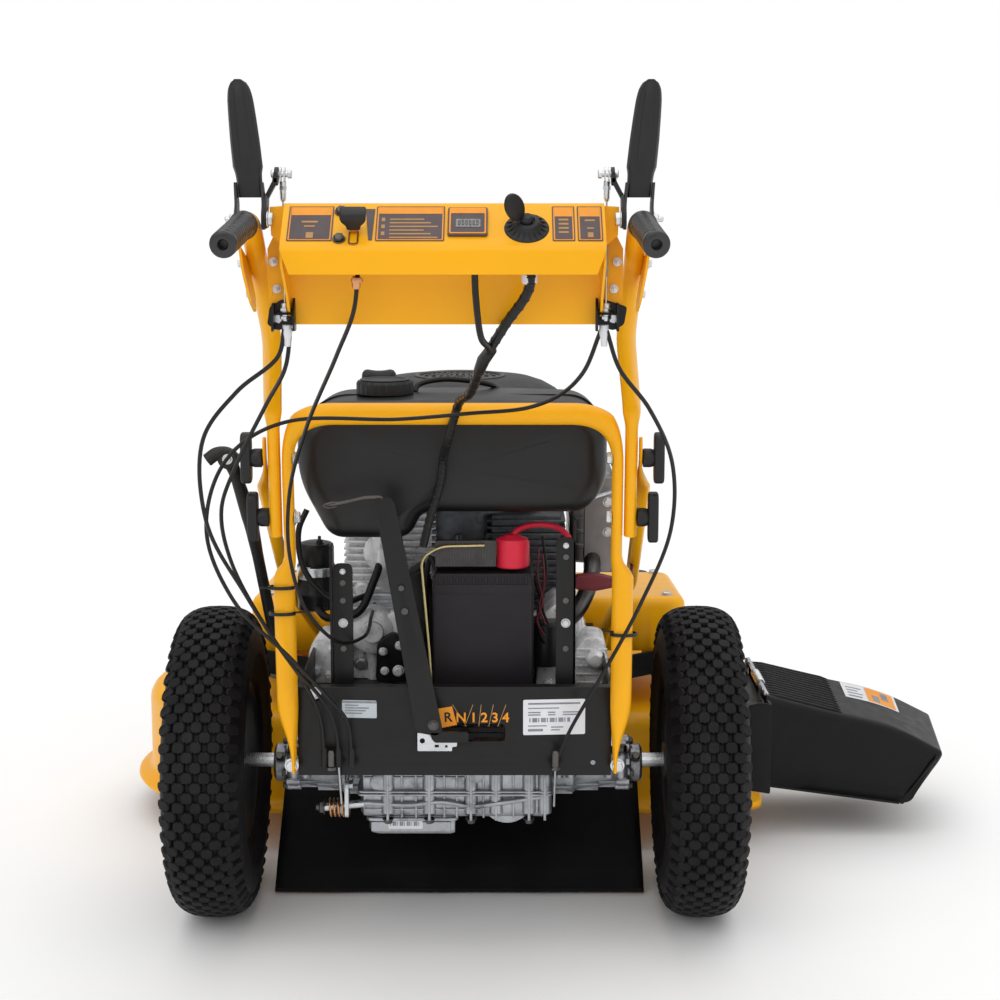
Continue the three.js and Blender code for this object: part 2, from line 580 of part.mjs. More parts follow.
const BLOWER = { low: 577, height: 116, r: 146, wall: 4 };
const ROPE = { x: -104, y: 112, z: 671, out: [0, -0.76, 0.65], boss: 32, grip: 47 };
const ropePoint = (distance) => [ROPE.x, ROPE.y + ROPE.out[1] * distance, ROPE.z + ROPE.out[2] * distance];
function blowerGeometry() {
  const { r, wall, height } = BLOWER;
  const shell = [
    [r, 0], [r, height - 34], [r - 14, height - 16], [r - 50, height - 2], [0, height],
    [0, height - wall], [r - 51, height - 2 - wall], [r - 17, height - 20], [r - wall, height - 36], [r - wall, 0], [r, 0],
  ];
  const dome = latheZ(shell, 24).translate(0, ENGINE_Y, BLOWER.low);
  return join(dome, rod(14, ropePoint(-6), ropePoint(ROPE.boss), 14));
}
add('blower_housing', blowerGeometry(), LOOKS.plastic);

const muffler = slabZ(roundedRectangle(148, 206, 70, 236, 22), 452, 576, { curveSegments: 4 });
add('muffler', muffler, LOOKS.steel);
const starter = join(rod(25, [-190, 70, 392], [-190, 70, 452], 16), rod(21, [-190, 70, 440], [-190, 70, 482], 16));
add('starter_motor', starter, LOOKS.blackPaint);

// The starter rope's handle pulls up and back over the tank.
function recoilHandleGeometry() {
  const neckLength = ROPE.grip - ROPE.boss - GAP;
  const grip = rod(9, [-20, 0, 0], [20, 0, 0], 16);
  const neck = rod(6, [0, 0, 0], [0, -ROPE.out[1] * neckLength, -ROPE.out[2] * neckLength], 12);
  return join(grip, neck);
}
add('recoil_handle', recoilHandleGeometry(), LOOKS.plastic, ropePoint(ROPE.grip));

// ---- deck height lever: a flat arm on the left rail with an elbow at its top ----
const LIFT = { x: -214, y: 30, z: 300 };
function liftLeverGeometry() {
  const path = bentPath([[0, 0, 0], [-30, -12, 80], [-48, -66, 230], [-66, -92, 306], [-92, -100, 318]], 14);
  const arm = sweep(path, 7, 14, 8);
  const hub = rod(16, [-9, 0, 0], [GAP + 20, 0, 0], 14);
  return join(arm, hub);
}
add('deck_height_lever', liftLeverGeometry(), LOOKS.plastic, [LIFT.x, LIFT.y, LIFT.z]);

// ---- gear lever: a flat bar behind the rear panel, with a tongue through its slot ----
function shiftLeverGeometry() {
  const barY = [-213, -208];
  const bar = slabY([[-44, 296], [-18, 292], [-14, 304], [-70, 582], [-90, 578]].map(([x, z]) => [x, z]), ...barY);
  const rodTop = rod(3.2, [-80, -205, 578], [-150, -197, 574], 10);
  const tie = rod(3.2, [-80, -212, 576], [-80, -204, 578], 10);
  const tongueX = SHIFT.x + SHIFT.reach * Math.tan(SHIFT.neutral);
  const foot = box(-40, tongueX + 6, ...barY, 290, 302);
  const tongue = box(tongueX - 5, tongueX + 5, -210, -178, 293, 300);
  const drop = slabY([[tongueX - 5, 300], [tongueX + 5, 300], [SHIFT.x + 7, SHIFT.z], [SHIFT.x - 7, SHIFT.z]], -182, -178);
  const boss = rod(9, [SHIFT.x, -185, SHIFT.z], [SHIFT.x, -174, SHIFT.z], 14);
  return join(bar, tie, rodTop, foot, tongue, drop, boss);
}
add('shift_lever', shiftLeverGeometry(), LOOKS.blackPaint);

// ---- upper handle ----
const GRIP_DIRECTION = new THREE.Vector3(0.045, -0.99, -0.14).normalize();
const GRIP_START = 78;                // from the levers' hinge to the tube's open end
const alongGrip = (side, distance) => [
  side * (PIVOT.x + GRIP_DIRECTION.x * distance),
  PIVOT.y + GRIP_DIRECTION.y * distance,
  PIVOT.z + GRIP_DIRECTION.z * distance,
];
for (const [name, side] of Object.entries(SIDES)) {
  const path = bentPath([
    [side * 207.5, loopY(545), 545], [side * 207.5, loopY(694), 694], [side * HANDLE_X, -372, 790],
    [side * PIVOT.x, PIVOT.y, PIVOT.z], alongGrip(side, GRIP_START),
  ], 24);
  const tube = sweep(path, TUBE_R, 26, 8);
  press(tube, side, { low: 500, high: 672, blend: 24, from: 207.5, to: 207.5, radius: TUBE_R, half: 7.4 });
  add(`handle_tube_${name}`, tube, LOOKS.yellow);
}

// The console is one folded sheet between end plates, cut for the throttle lever.
// A point on the console's top, a share of the way up its slope and a height above it.
function onConsole(share, height) {
  const y = THREE.MathUtils.lerp(CONSOLE_NEAR[0], CONSOLE_FAR[0], share) - Math.sin(CONSOLE_TILT) * height;
  const z = THREE.MathUtils.lerp(CONSOLE_NEAR[1], CONSOLE_FAR[1], share) + Math.cos(CONSOLE_TILT) * height;
  return [y, z];
}
const THROTTLE = { x: -87, share: 0.36, depth: 28 };
function consoleGeometry() {
  const t = CONSOLE_SHEET;
  const [near, far] = [CONSOLE_NEAR, CONSOLE_FAR];
  const fold = [
    [near[0], 866], near, far, [-488, 812], [-488 + t, 812], [far[0] + t + 1, far[1] + t], [far[0] - 1, far[1] + t],
    [near[0] - t, near[1] + 1], [near[0] - t, 866],
  ];
  const sheet = slabX(fold, -CONSOLE_X, CONSOLE_X);
  const ends = Object.values(SIDES).map((side) => {
    const x = side * (CONSOLE_X - t / 2);
    return slabX([[near[0], 872], near, far, [-486, 926], [-486, 830], [-520, 840]], x - t / 2, x + t / 2);
  });
  const wings = Object.values(SIDES).map((side) => {
    const edge = HANDLE_X - TUBE_R - 0.6;
    const outline = [[CONSOLE_X - 1, 828], [edge, 828], [edge, 888], [171, 900], [170, 926], [CONSOLE_X - 1, 926]];
    return slabY(outline.map(([x, z]) => [side * x, z]), -489, -486.5);
  });
  const slot = box(-4, 4, -17, 17, -8, 8).rotateX(CONSOLE_TILT).translate(THROTTLE.x, ...onConsole(THROTTLE.share, 0));
  return cut(join(sheet, ...ends, ...wings), slot);
}
add('console_panel', consoleGeometry(), LOOKS.yellow);

for (const [name, side] of Object.entries(SIDES)) {
  const outward = new THREE.Vector3(side * GRIP_DIRECTION.x, GRIP_DIRECTION.y, GRIP_DIRECTION.z);
  const sleeve = [[0, 0], [GRIP_R, 0], [GRIP_R, 62], [12.4, 66], [6, 66.5], [0, 66.5]];
  const collar = [[TUBE_R + GAP, -46], [GRIP_R, -46], [GRIP_R, 2], [TUBE_R + GAP, 2], [TUBE_R + GAP, -46]];
  const turn = new THREE.Quaternion().setFromUnitVectors(new THREE.Vector3(0, 1, 0), outward);
  const grip = join(lathe(sleeve, 16).translate(0, 0.6, 0), lathe(collar, 16)).applyQuaternion(turn);
  add(`grip_${name}`, grip, LOOKS.rubber, alongGrip(side, GRIP_START));
}

// The hand levers: a channel above a pair of ears, and an arm that pulls the cable.
const ARM = { y: 30, z: 44 };
function handLeverGeometry(side) {
  const half = 13.6;
  const lean = { from: 10, back: 0.09, out: 0.105 };
  const back = box(-half, half, 17, 20, 20, 135);
  const flanges = [-1, 1].map((end) => box(end * (half - 1.3) - 1.3, end * (half - 1.3) + 1.3, 11, 19, 20, 130));
  const ears = [-1, 1].map((end) => slabX([[-8, -9], [6, -10], [20, 20], [20, 34], [12, 34], [-6, 12]],
    end * (half - 1.3) - 1.3, end * (half - 1.3) + 1.3));
  const blade = join(back, ...flanges, ...ears);
  const position = blade.attributes.position;
  for (let i = 0; i < position.count; i += 1) {
    const above = Math.max(0, position.getZ(i) - lean.from);
    position.setX(i, position.getX(i) + side * above * lean.out);
    position.setY(i, position.getY(i) + Math.max(0, above - lean.from) * lean.back);
  }
  const inner = -side;
  const plate = (x0, x1, points) => slabX(points, Math.min(inner * x0, inner * x1), Math.max(inner * x0, inner * x1));
  const root = plate(13, 16.4, [[-7, -8], [7, -8], [27, 18], [26, 26], [10, 24]]);
  const reach = slabY([[inner * 13.2, 16], [inner * 13.2, 24], [inner * 23, 42], [inner * 26, 42], [inner * 26, 34]], 15, 25);
  const tip = plate(22.8, 26, [[15, 34], [28, 36], [37, 44], [30, 51], [15, 44]]);
  const bolt = rod(3, [inner * 16.5, ARM.y, ARM.z], [inner * 38, ARM.y, ARM.z], 10);
  return join(blade, root, reach, tip, bolt);
}

// A clevis and the bare wire below it, which slides in and out of its cable.
const WIRE_FOOT = { y: -497, z: 828 };
function cableLinkGeometry(side) {
  const inner = -side;
  const down = new THREE.Vector3(0, WIRE_FOOT.y - (PIVOT.y + ARM.y), WIRE_FOOT.z - (PIVOT.z + ARM.z));
  const along = down.clone().normalize();
  const at = (distance) => [inner * 30, along.y * distance, along.z * distance];
  const eye = cut(rod(7, [inner * 27, 0, 0], [inner * 33.5, 0, 0], 16), rod(3.35, [inner * 20, 0, 0], [inner * 40, 0, 0], 12));
  const neck = rod(3, at(6), at(26), 10);
  const wire = rod(1.1, at(24), [inner * 30, down.y, down.z], 8);
  return join(eye, neck, wire);
}

const LEVER_NAMES = { left: 'drive_lever', right: 'blade_lever' };
for (const [name, side] of Object.entries(SIDES)) {
  const x = side * PIVOT.x;
  add(LEVER_NAMES[name], handLeverGeometry(side), LOOKS.plastic, [x, PIVOT.y, PIVOT.z]);
  add(`cable_link_${name}`, cableLinkGeometry(side), LOOKS.steel, [x, PIVOT.y + ARM.y, PIVOT.z + ARM.z]);
}

// Throttle: a flat stem from a pivot under the console up to a T-shaped knob.
function throttleGeometry() {
  const stem = box(-1.5, 1.5, -4, 4, 0, 45);
  const knob = slabY([[-13, 43], [13, 43], [15, 54], [10, 60], [-10, 60], [-15, 54]], -7, 7);
  const pivot = rod(6, [-8, 0, 0], [8, 0, 0], 12);
  return join(stem, knob, pivot);
}
const throttlePlace = [THROTTLE.x, ...onConsole(THROTTLE.share, -THROTTLE.depth)];
add('throttle_lever', throttleGeometry(), LOOKS.plastic, throttlePlace).rotation.x = CONSOLE_TILT;

function ignitionKeyGeometry() {
  const barrel = rod(6, [0, 0, 3], [0, 0, 14], 16);
  const bow = rod(14, [-3, 0, 24], [3, 0, 24], 16).scale(1, 0.72, 1);
  return join(barrel, bow);
}
const KEY_SHARE = 0.42;               // how far up the console's slope the switch sits
add('ignition_key', ignitionKeyGeometry(), LOOKS.plastic, [81, ...onConsole(KEY_SHARE, 0)]).rotation.x = CONSOLE_TILT;

// ---- wing knobs on the handle's bolts ----
const KNOB_REACH = 14;                // from the tube's side to the wing
function knobGeometry(side) {
  const [near, far] = [side * (KNOB_REACH - 1), side * (KNOB_REACH + 11)];
  const hub = rod(11, [0, 0, 0], [side * KNOB_REACH, 0, 0], 14);
  const wing = slabX([[-9, -30], [9, -30], [12, 0], [9, 30], [-9, 30], [-12, 0]], Math.min(near, far), Math.max(near, far));
  return join(hub, wing);
}
for (const [name, side] of Object.entries(SIDES)) {
  for (const [level, z] of Object.entries(KNOB_HEIGHTS)) {
    const inset = level === 'upper' ? 221 : 215.4;
    add(`knob_${level}_${name}`, knobGeometry(side), LOOKS.plastic, [side * inset, loopY(z), z]);
  }
}

// ---- control cables and the wiring harness, held at both ends ----
const CABLES = {
  drive_cable_left: [
    [-163, -494, 808], [-170, -490, 780], [-215, -474, 742], [-254, -455, 690], [-258, -425, 600], [-228, -345, 500], [-188, -262, 400],
    [-152, -214, 335], [-142, -204, 300], [-140, -200, 262],
  ],
  brake_cable_left: [
    [-157, -491, 808], [-163, -484, 770], [-190, -438, 724], [-228, -395, 655], [-250, -365, 600], [-246, -328, 535], [-212, -272, 440],
    [-174, -222, 360], [-161, -204, 318], [-157, -199, 262],
  ],
  blade_cable_cross: [
    [157, -491, 806], [140, -465, 760], [90, -350, 712], [20, -296, 698], [-60, -284, 690], [-180, -300, 690], [-232, -345, 668], [-256, -380, 630],
    [-262, -394, 575], [-238, -372, 500], [-186, -292, 415], [-148, -236, 352], [-128, -205, 312], [-124, -200, 262],
  ],
  blade_cable_right: [
    [163, -494, 806], [176, -486, 768], [210, -456, 722], [240, -400, 655], [243, -355, 575], [215, -300, 480], [172, -232, 372],
    [140, -205, 305], [122, -201, 262],
  ],
  throttle_cable: [
    [-85, -533, 866], [-90, -520, 830], [-112, -470, 780], [-158, -350, 686], [-186, -272, 600], [-188, -262, 530], [-172, -246, 462],
    [-140, -200, 412], [-114, -130, 400], [-112, 0, 398], [-112, 58, 400],
  ],
};
for (const [name, points] of Object.entries(CABLES)) {
  add(name, cord(points, 2.6, 20, 5), LOOKS.jacket);
}
add('wiring_harness', cord([
  [84, -545, 880], [84, -535, 852], [60, -500, 812], [38, -455, 772], [24, -380, 732], [8, -276, 706], [-6, -225, 655], [-12, -185, 632], [-16, -170, 600],
  [-28, -166, 560], [-38, -160, 520],
], 5, 22, 6), LOOKS.jacket);

// ---- the origin: the middle of the machine's footprint, on the ground ----
const bounds = new THREE.Box3().setFromObject(machine, true);
machine.position.set(-(bounds.min.x + bounds.max.x) / 2, -(bounds.min.y + bounds.max.y) / 2, -bounds.min.z);

const mower = new THREE.Group();
mower.add(machine);
export default mower;
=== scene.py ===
import math

import bmesh
import bpy
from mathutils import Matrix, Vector


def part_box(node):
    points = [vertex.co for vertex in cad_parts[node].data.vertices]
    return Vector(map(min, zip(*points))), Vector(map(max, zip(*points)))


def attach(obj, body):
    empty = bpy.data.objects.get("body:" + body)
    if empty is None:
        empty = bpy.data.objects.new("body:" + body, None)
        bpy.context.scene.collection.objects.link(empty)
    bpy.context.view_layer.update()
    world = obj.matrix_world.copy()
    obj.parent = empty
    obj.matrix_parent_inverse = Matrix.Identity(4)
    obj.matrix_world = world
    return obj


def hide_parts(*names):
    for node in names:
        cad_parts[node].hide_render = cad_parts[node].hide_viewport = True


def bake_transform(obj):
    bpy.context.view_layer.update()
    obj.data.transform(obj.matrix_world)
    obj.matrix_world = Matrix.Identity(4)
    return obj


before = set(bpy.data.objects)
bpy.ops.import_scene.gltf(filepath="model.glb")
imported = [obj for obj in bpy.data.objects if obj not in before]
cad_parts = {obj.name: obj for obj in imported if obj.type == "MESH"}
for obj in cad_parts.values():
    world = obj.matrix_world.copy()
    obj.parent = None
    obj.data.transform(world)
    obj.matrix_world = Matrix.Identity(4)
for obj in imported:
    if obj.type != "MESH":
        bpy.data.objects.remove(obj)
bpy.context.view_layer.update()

# ---- the machine's own axes: millimetres, from the ground under the middle of the rear axle ----
MM = 0.001
LEFT_LOW, LEFT_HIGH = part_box("tyre_left")
RIGHT_LOW, RIGHT_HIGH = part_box("tyre_right")
ORIGIN = Vector(((LEFT_LOW.x + LEFT_HIGH.x + RIGHT_LOW.x + RIGHT_HIGH.x) / 4,
                 (LEFT_LOW.y + LEFT_HIGH.y) / 2, 0))
SIDES = {"left": -1, "right": 1}


def place(point):
    return ORIGIN + Vector(point) * MM


def pair(side, a, b):
    """Two distances from the middle, on the side asked for, the lower first."""
    return sorted((side * a, side * b))


def around(count, radius=1.0, start=0.0):
    """Points round a circle whose middle is at (0, 0)."""
    angles = [math.tau * i / count + start for i in range(count)]
    return [(radius * math.cos(angle), radius * math.sin(angle)) for angle in angles]


def outward(outline):
    """The normals of a closed outline, one for each point."""
    normals = []
    for i in range(len(outline)):
        along = (Vector(outline[(i + 1) % len(outline)]) - Vector(outline[i - 1])).normalized()
        normals.append(Vector((along.y, -along.x)))
    return normals


def limited(value):
    """The value, kept between nothing and one."""
    return min(1.0, max(0.0, value))


# ---- materials ----
class Nodes:
    """A node tree with its Principled shader."""

    def __init__(self, name):
        self.material = bpy.data.materials.new(name)
        self.material.use_nodes = True
        self.tree = self.material.node_tree
        self.shader = self.tree.nodes["Principled BSDF"]
        self.coords = self.tree.nodes.new("ShaderNodeTexCoord").outputs["Object"]

    def node(self, kind, **values):
        made = self.tree.nodes.new(kind)
        for key, value in values.items():
            if hasattr(made, key):
                setattr(made, key, value)
            else:
                made.inputs[key.replace("_", " ")].default_value = value
        return made

    def link(self, output, target):
        self.tree.links.new(output, target)

    def noise(self, scale, detail=3.0, roughness=0.55, stretch=None):
        texture = self.node("ShaderNodeTexNoise", Scale=scale, Detail=detail, Roughness=roughness)
        if stretch:
            mapping = self.node("ShaderNodeMapping", Scale=stretch)
            self.link(self.coords, mapping.inputs["Vector"])
            self.link(mapping.outputs["Vector"], texture.inputs["Vector"])
        else:
            self.link(self.coords, texture.inputs["Vector"])
        return texture.outputs["Fac"]

    def ramp(self, value, stops):
        ramp = self.node("ShaderNodeValToRGB")
        elements = ramp.color_ramp.elements
        while len(elements) < len(stops):
            elements.new(0.5)
        for element, (position, color) in zip(elements, stops):
            element.position = position
            element.color = (*color, 1.0)
        self.link(value, ramp.inputs["Fac"])
        return ramp.outputs["Color"]

    def span(self, value, low, high):
        spread = self.node("ShaderNodeMapRange")
        spread.inputs["From Min"].default_value = 0.3
        spread.inputs["From Max"].default_value = 0.7
        spread.inputs["To Min"].default_value = low
        spread.inputs["To Max"].default_value = high
        self.link(value, spread.inputs["Value"])
        return spread.outputs["Result"]

    def bump(self, layers):
        """Bumps one on top of another: (height, strength, depth in millimetres)."""
        normal = None
        for height, strength, depth in layers:
            bump = self.node("ShaderNodeBump", Strength=strength, Distance=depth * MM)
            self.link(height, bump.inputs["Height"])
            if normal:
                self.link(normal, bump.inputs["Normal"])
            normal = bump.outputs["Normal"]
        self.link(normal, self.shader.inputs["Normal"])

    def fixed(self, **values):
        for key, value in values.items():
            self.shader.inputs[key.replace("_", " ")].default_value = value


def tint(color, factor):
    return tuple(min(1.0, channel * factor) for channel in color)


def finish_material(name, color, rough, variation=0.08, patch=14.0, grain=(900, 0.25, 0.05), metallic=0.0,
                    **fixed):
    """A surface with patchy colour, uneven roughness and a fine grain."""
    nodes = Nodes(name)
    patches = nodes.noise(patch, 4.0)
    colors = nodes.ramp(patches, [(0.3, tint(color, 1 - variation)), (0.7, tint(color, 1 + variation))])
    nodes.link(colors, nodes.shader.inputs["Base Color"])
    nodes.link(nodes.span(nodes.noise(patch * 3.7, 5.0), rough - 0.06, rough + 0.06),
               nodes.shader.inputs["Roughness"])
    scale, strength, depth = grain
    nodes.bump([(nodes.noise(scale, 2.0), strength, depth), (nodes.noise(scale / 9, 2.0), strength * 0.5,
                                                             depth * 2)])
    nodes.fixed(Metallic=metallic, **fixed)
    return nodes.material


def brushed_material(name, color, rough, stretch=(1, 1, 30), metallic=1.0):
    nodes = Nodes(name)
    patches = nodes.noise(30, 4.0)
    nodes.link(nodes.ramp(patches, [(0.3, tint(color, 0.82)), (0.7, tint(color, 1.12))]),
               nodes.shader.inputs["Base Color"])
    lines = nodes.noise(260, 3.0, stretch=stretch)
    nodes.link(nodes.span(lines, rough - 0.09, rough + 0.12), nodes.shader.inputs["Roughness"])
    nodes.bump([(lines, 0.25, 0.04)])
    nodes.fixed(Metallic=metallic)
    return nodes.material


def cast_material(name, color, rough, metallic=0.85):
    """As-cast alloy: a coarse grain, blotches, and darker dirt in the hollows of a broad noise."""
    nodes = Nodes(name)
    blotches = nodes.noise(45, 6.0, 0.65)
    nodes.link(
        nodes.ramp(blotches, [(0.28, tint(color, 0.45)), (0.45, color), (0.62, tint(color, 1.15)),
                              (0.8, tint(color, 1.5))]),
        nodes.shader.inputs["Base Color"])
    nodes.link(nodes.span(nodes.noise(120, 4.0), rough - 0.1, rough + 0.14),
               nodes.shader.inputs["Roughness"])
    nodes.bump([(nodes.noise(420, 4.0, 0.7), 0.5, 0.22), (nodes.noise(60, 3.0), 0.3, 0.7)])
    nodes.fixed(Metallic=metallic)
    return nodes.material


YELLOW = (0.90, 0.42, 0.003)
LOOK = {
    "yellow": finish_material("yellow_powder_coat", YELLOW, 0.34, 0.03, 7.0, (700, 0.10, 0.04),
                              Specular_IOR_Level=0.24, Coat_Weight=0.08, Coat_Roughness=0.2),
    "black_paint": finish_material("black_powder_coat", (0.010, 0.0095, 0.0095), 0.36, 0.2, 9.0,
                                   (620, 0.16, 0.06), Specular_IOR_Level=0.28),
    "plastic": finish_material("black_moulded_plastic", (0.0125, 0.0122, 0.0128), 0.46, 0.15, 12.0,
                               (1100, 0.32, 0.07), Specular_IOR_Level=0.36),
    "tank": finish_material("black_tank_plastic", (0.0085, 0.008, 0.0083), 0.38, 0.15, 6.0,
                            (820, 0.2, 0.07), Specular_IOR_Level=0.38),
    "chute": finish_material("black_chute_plastic", (0.0045, 0.0045, 0.0055), 0.36, 0.25, 16.0,
                             (900, 0.4, 0.1), Specular_IOR_Level=0.2),
    "grip": finish_material("grip_rubber", (0.022, 0.0215, 0.022), 0.3, 0.15, 20.0, (1300, 0.4, 0.06)),
    "sheet_rubber": finish_material("sheet_rubber", (0.0085, 0.0078, 0.0085), 0.62, 0.3, 11.0,
                                    (500, 0.35, 0.1), Specular_IOR_Level=0.10),
    "jacket": finish_material("cable_jacket", (0.009, 0.0085, 0.0085), 0.36, 0.2, 30.0, (900, 0.2, 0.04),
                              Specular_IOR_Level=0.3),
    "tyre": finish_material("tyre_rubber", (0.0085, 0.0078, 0.0085), 0.60, 0.35, 22.0, (480, 0.5, 0.18),
                            Specular_IOR_Level=0.18),
    "rim": finish_material("rim_paint", (0.016, 0.016, 0.017), 0.42, 0.2, 14.0),
    "battery": finish_material("battery_case", (0.013, 0.011, 0.0135), 0.5, 0.12, 8.0, (900, 0.45, 0.1),
                               Specular_IOR_Level=0.3),
    "red": finish_material("red_vinyl", (0.62, 0.016, 0.045), 0.38, 0.12, 30.0, (700, 0.2, 0.08),
                           Specular_IOR_Level=0.35),
    "dark_red": finish_material("dark_red_plastic", (0.14, 0.006, 0.015), 0.42, 0.15, 40.0),
    "orange": finish_material("orange_ink", (0.82, 0.30, 0.02), 0.42, 0.06, 40.0, Specular_IOR_Level=0.3),
    "decal": finish_material("decal_ink", (0.085, 0.062, 0.066), 0.42, 0.12, 40.0, (800, 0.15, 0.03),
                             Specular_IOR_Level=0.3),
    "decal_mark": finish_material("decal_mark", (0.42, 0.21, 0.05), 0.42, 0.1, 60.0),
    "white": finish_material("label_white", (0.72, 0.73, 0.76), 0.38, 0.04, 30.0, (500, 0.1, 0.02)),
    "grey_ink": finish_material("label_ink", (0.22, 0.23, 0.26), 0.5, 0.2, 80.0),
    "silver_label": finish_material("silver_label", (0.48, 0.53, 0.56), 0.36, 0.08, 40.0, metallic=0.4),
    "clear": finish_material("smoky_plastic", (0.055, 0.05, 0.05), 0.3, 0.3, 60.0, Specular_IOR_Level=0.4),
    "floor": finish_material("floor", (0.93, 0.93, 0.93), 0.75, 0.01, 2.0, (60, 0.02, 0.05)),
    "cast": cast_material("cast_alloy", (0.40, 0.415, 0.44), 0.42),
    # Painted light: the engine's castings take a paler copy of the alloy than the transmission's. It paints
    # in the light that the tank's shade keeps from them, and their bright highlights.
    "cast_painted_light": cast_material("engine_alloy_painted_light", (0.84, 0.85, 0.87), 0.34, 0.25),
    "cast_dark": cast_material("cast_alloy_dark", (0.16, 0.17, 0.185), 0.45),
    "zinc": brushed_material("zinc_plate", (0.66, 0.68, 0.70), 0.3),
    "steel": brushed_material("bright_steel", (0.58, 0.59, 0.60), 0.26, (25, 1, 1)),
    "dark_steel": brushed_material("dark_steel", (0.12, 0.115, 0.11), 0.38),
    "yellow_zinc": brushed_material("yellow_zinc", (0.60, 0.50, 0.24), 0.32),
    "brass": brushed_material("brass", (0.66, 0.34, 0.16), 0.3),
    "muffler": brushed_material("muffler_sheet", (0.26, 0.245, 0.24), 0.42, (1, 1, 14)),
    "screen": finish_material("meter_screen", (0.20, 0.205, 0.20), 0.2, 0.3, 300.0),
    "pale_sleeve": finish_material("wire_sleeve", (0.42, 0.40, 0.40), 0.32, 0.1, 60.0,
                                   Transmission_Weight=0.35),
}
# The CAD material slot that each look stands for.
SLOTS = {look: "black_plastic" for look in ("plastic", "tank", "chute", "battery", "red", "dark_red",
                                            "decal", "white", "grey_ink", "silver_label", "clear",
                                            "screen")}
SLOTS |= {look: "yellow_paint" for look in ("yellow", "orange", "decal_mark")}
SLOTS |= {look: "bright_steel" for look in ("zinc", "steel", "dark_steel", "yellow_zinc", "brass",
                                            "pale_sleeve")}
SLOTS |= {look: "cast_alloy" for look in ("cast", "cast_painted_light", "cast_dark")}
SLOTS |= {"grip": "soft_rubber", "sheet_rubber": "soft_rubber", "jacket": "cable_jacket", "tyre": "tyre",
          "rim": "wheel_rim", "black_paint": "black_paint", "muffler": "muffler_steel"}


# ---- meshes, collected in the machine's millimetres ----
def between(a, b, share):
    return a + (b - a) * share


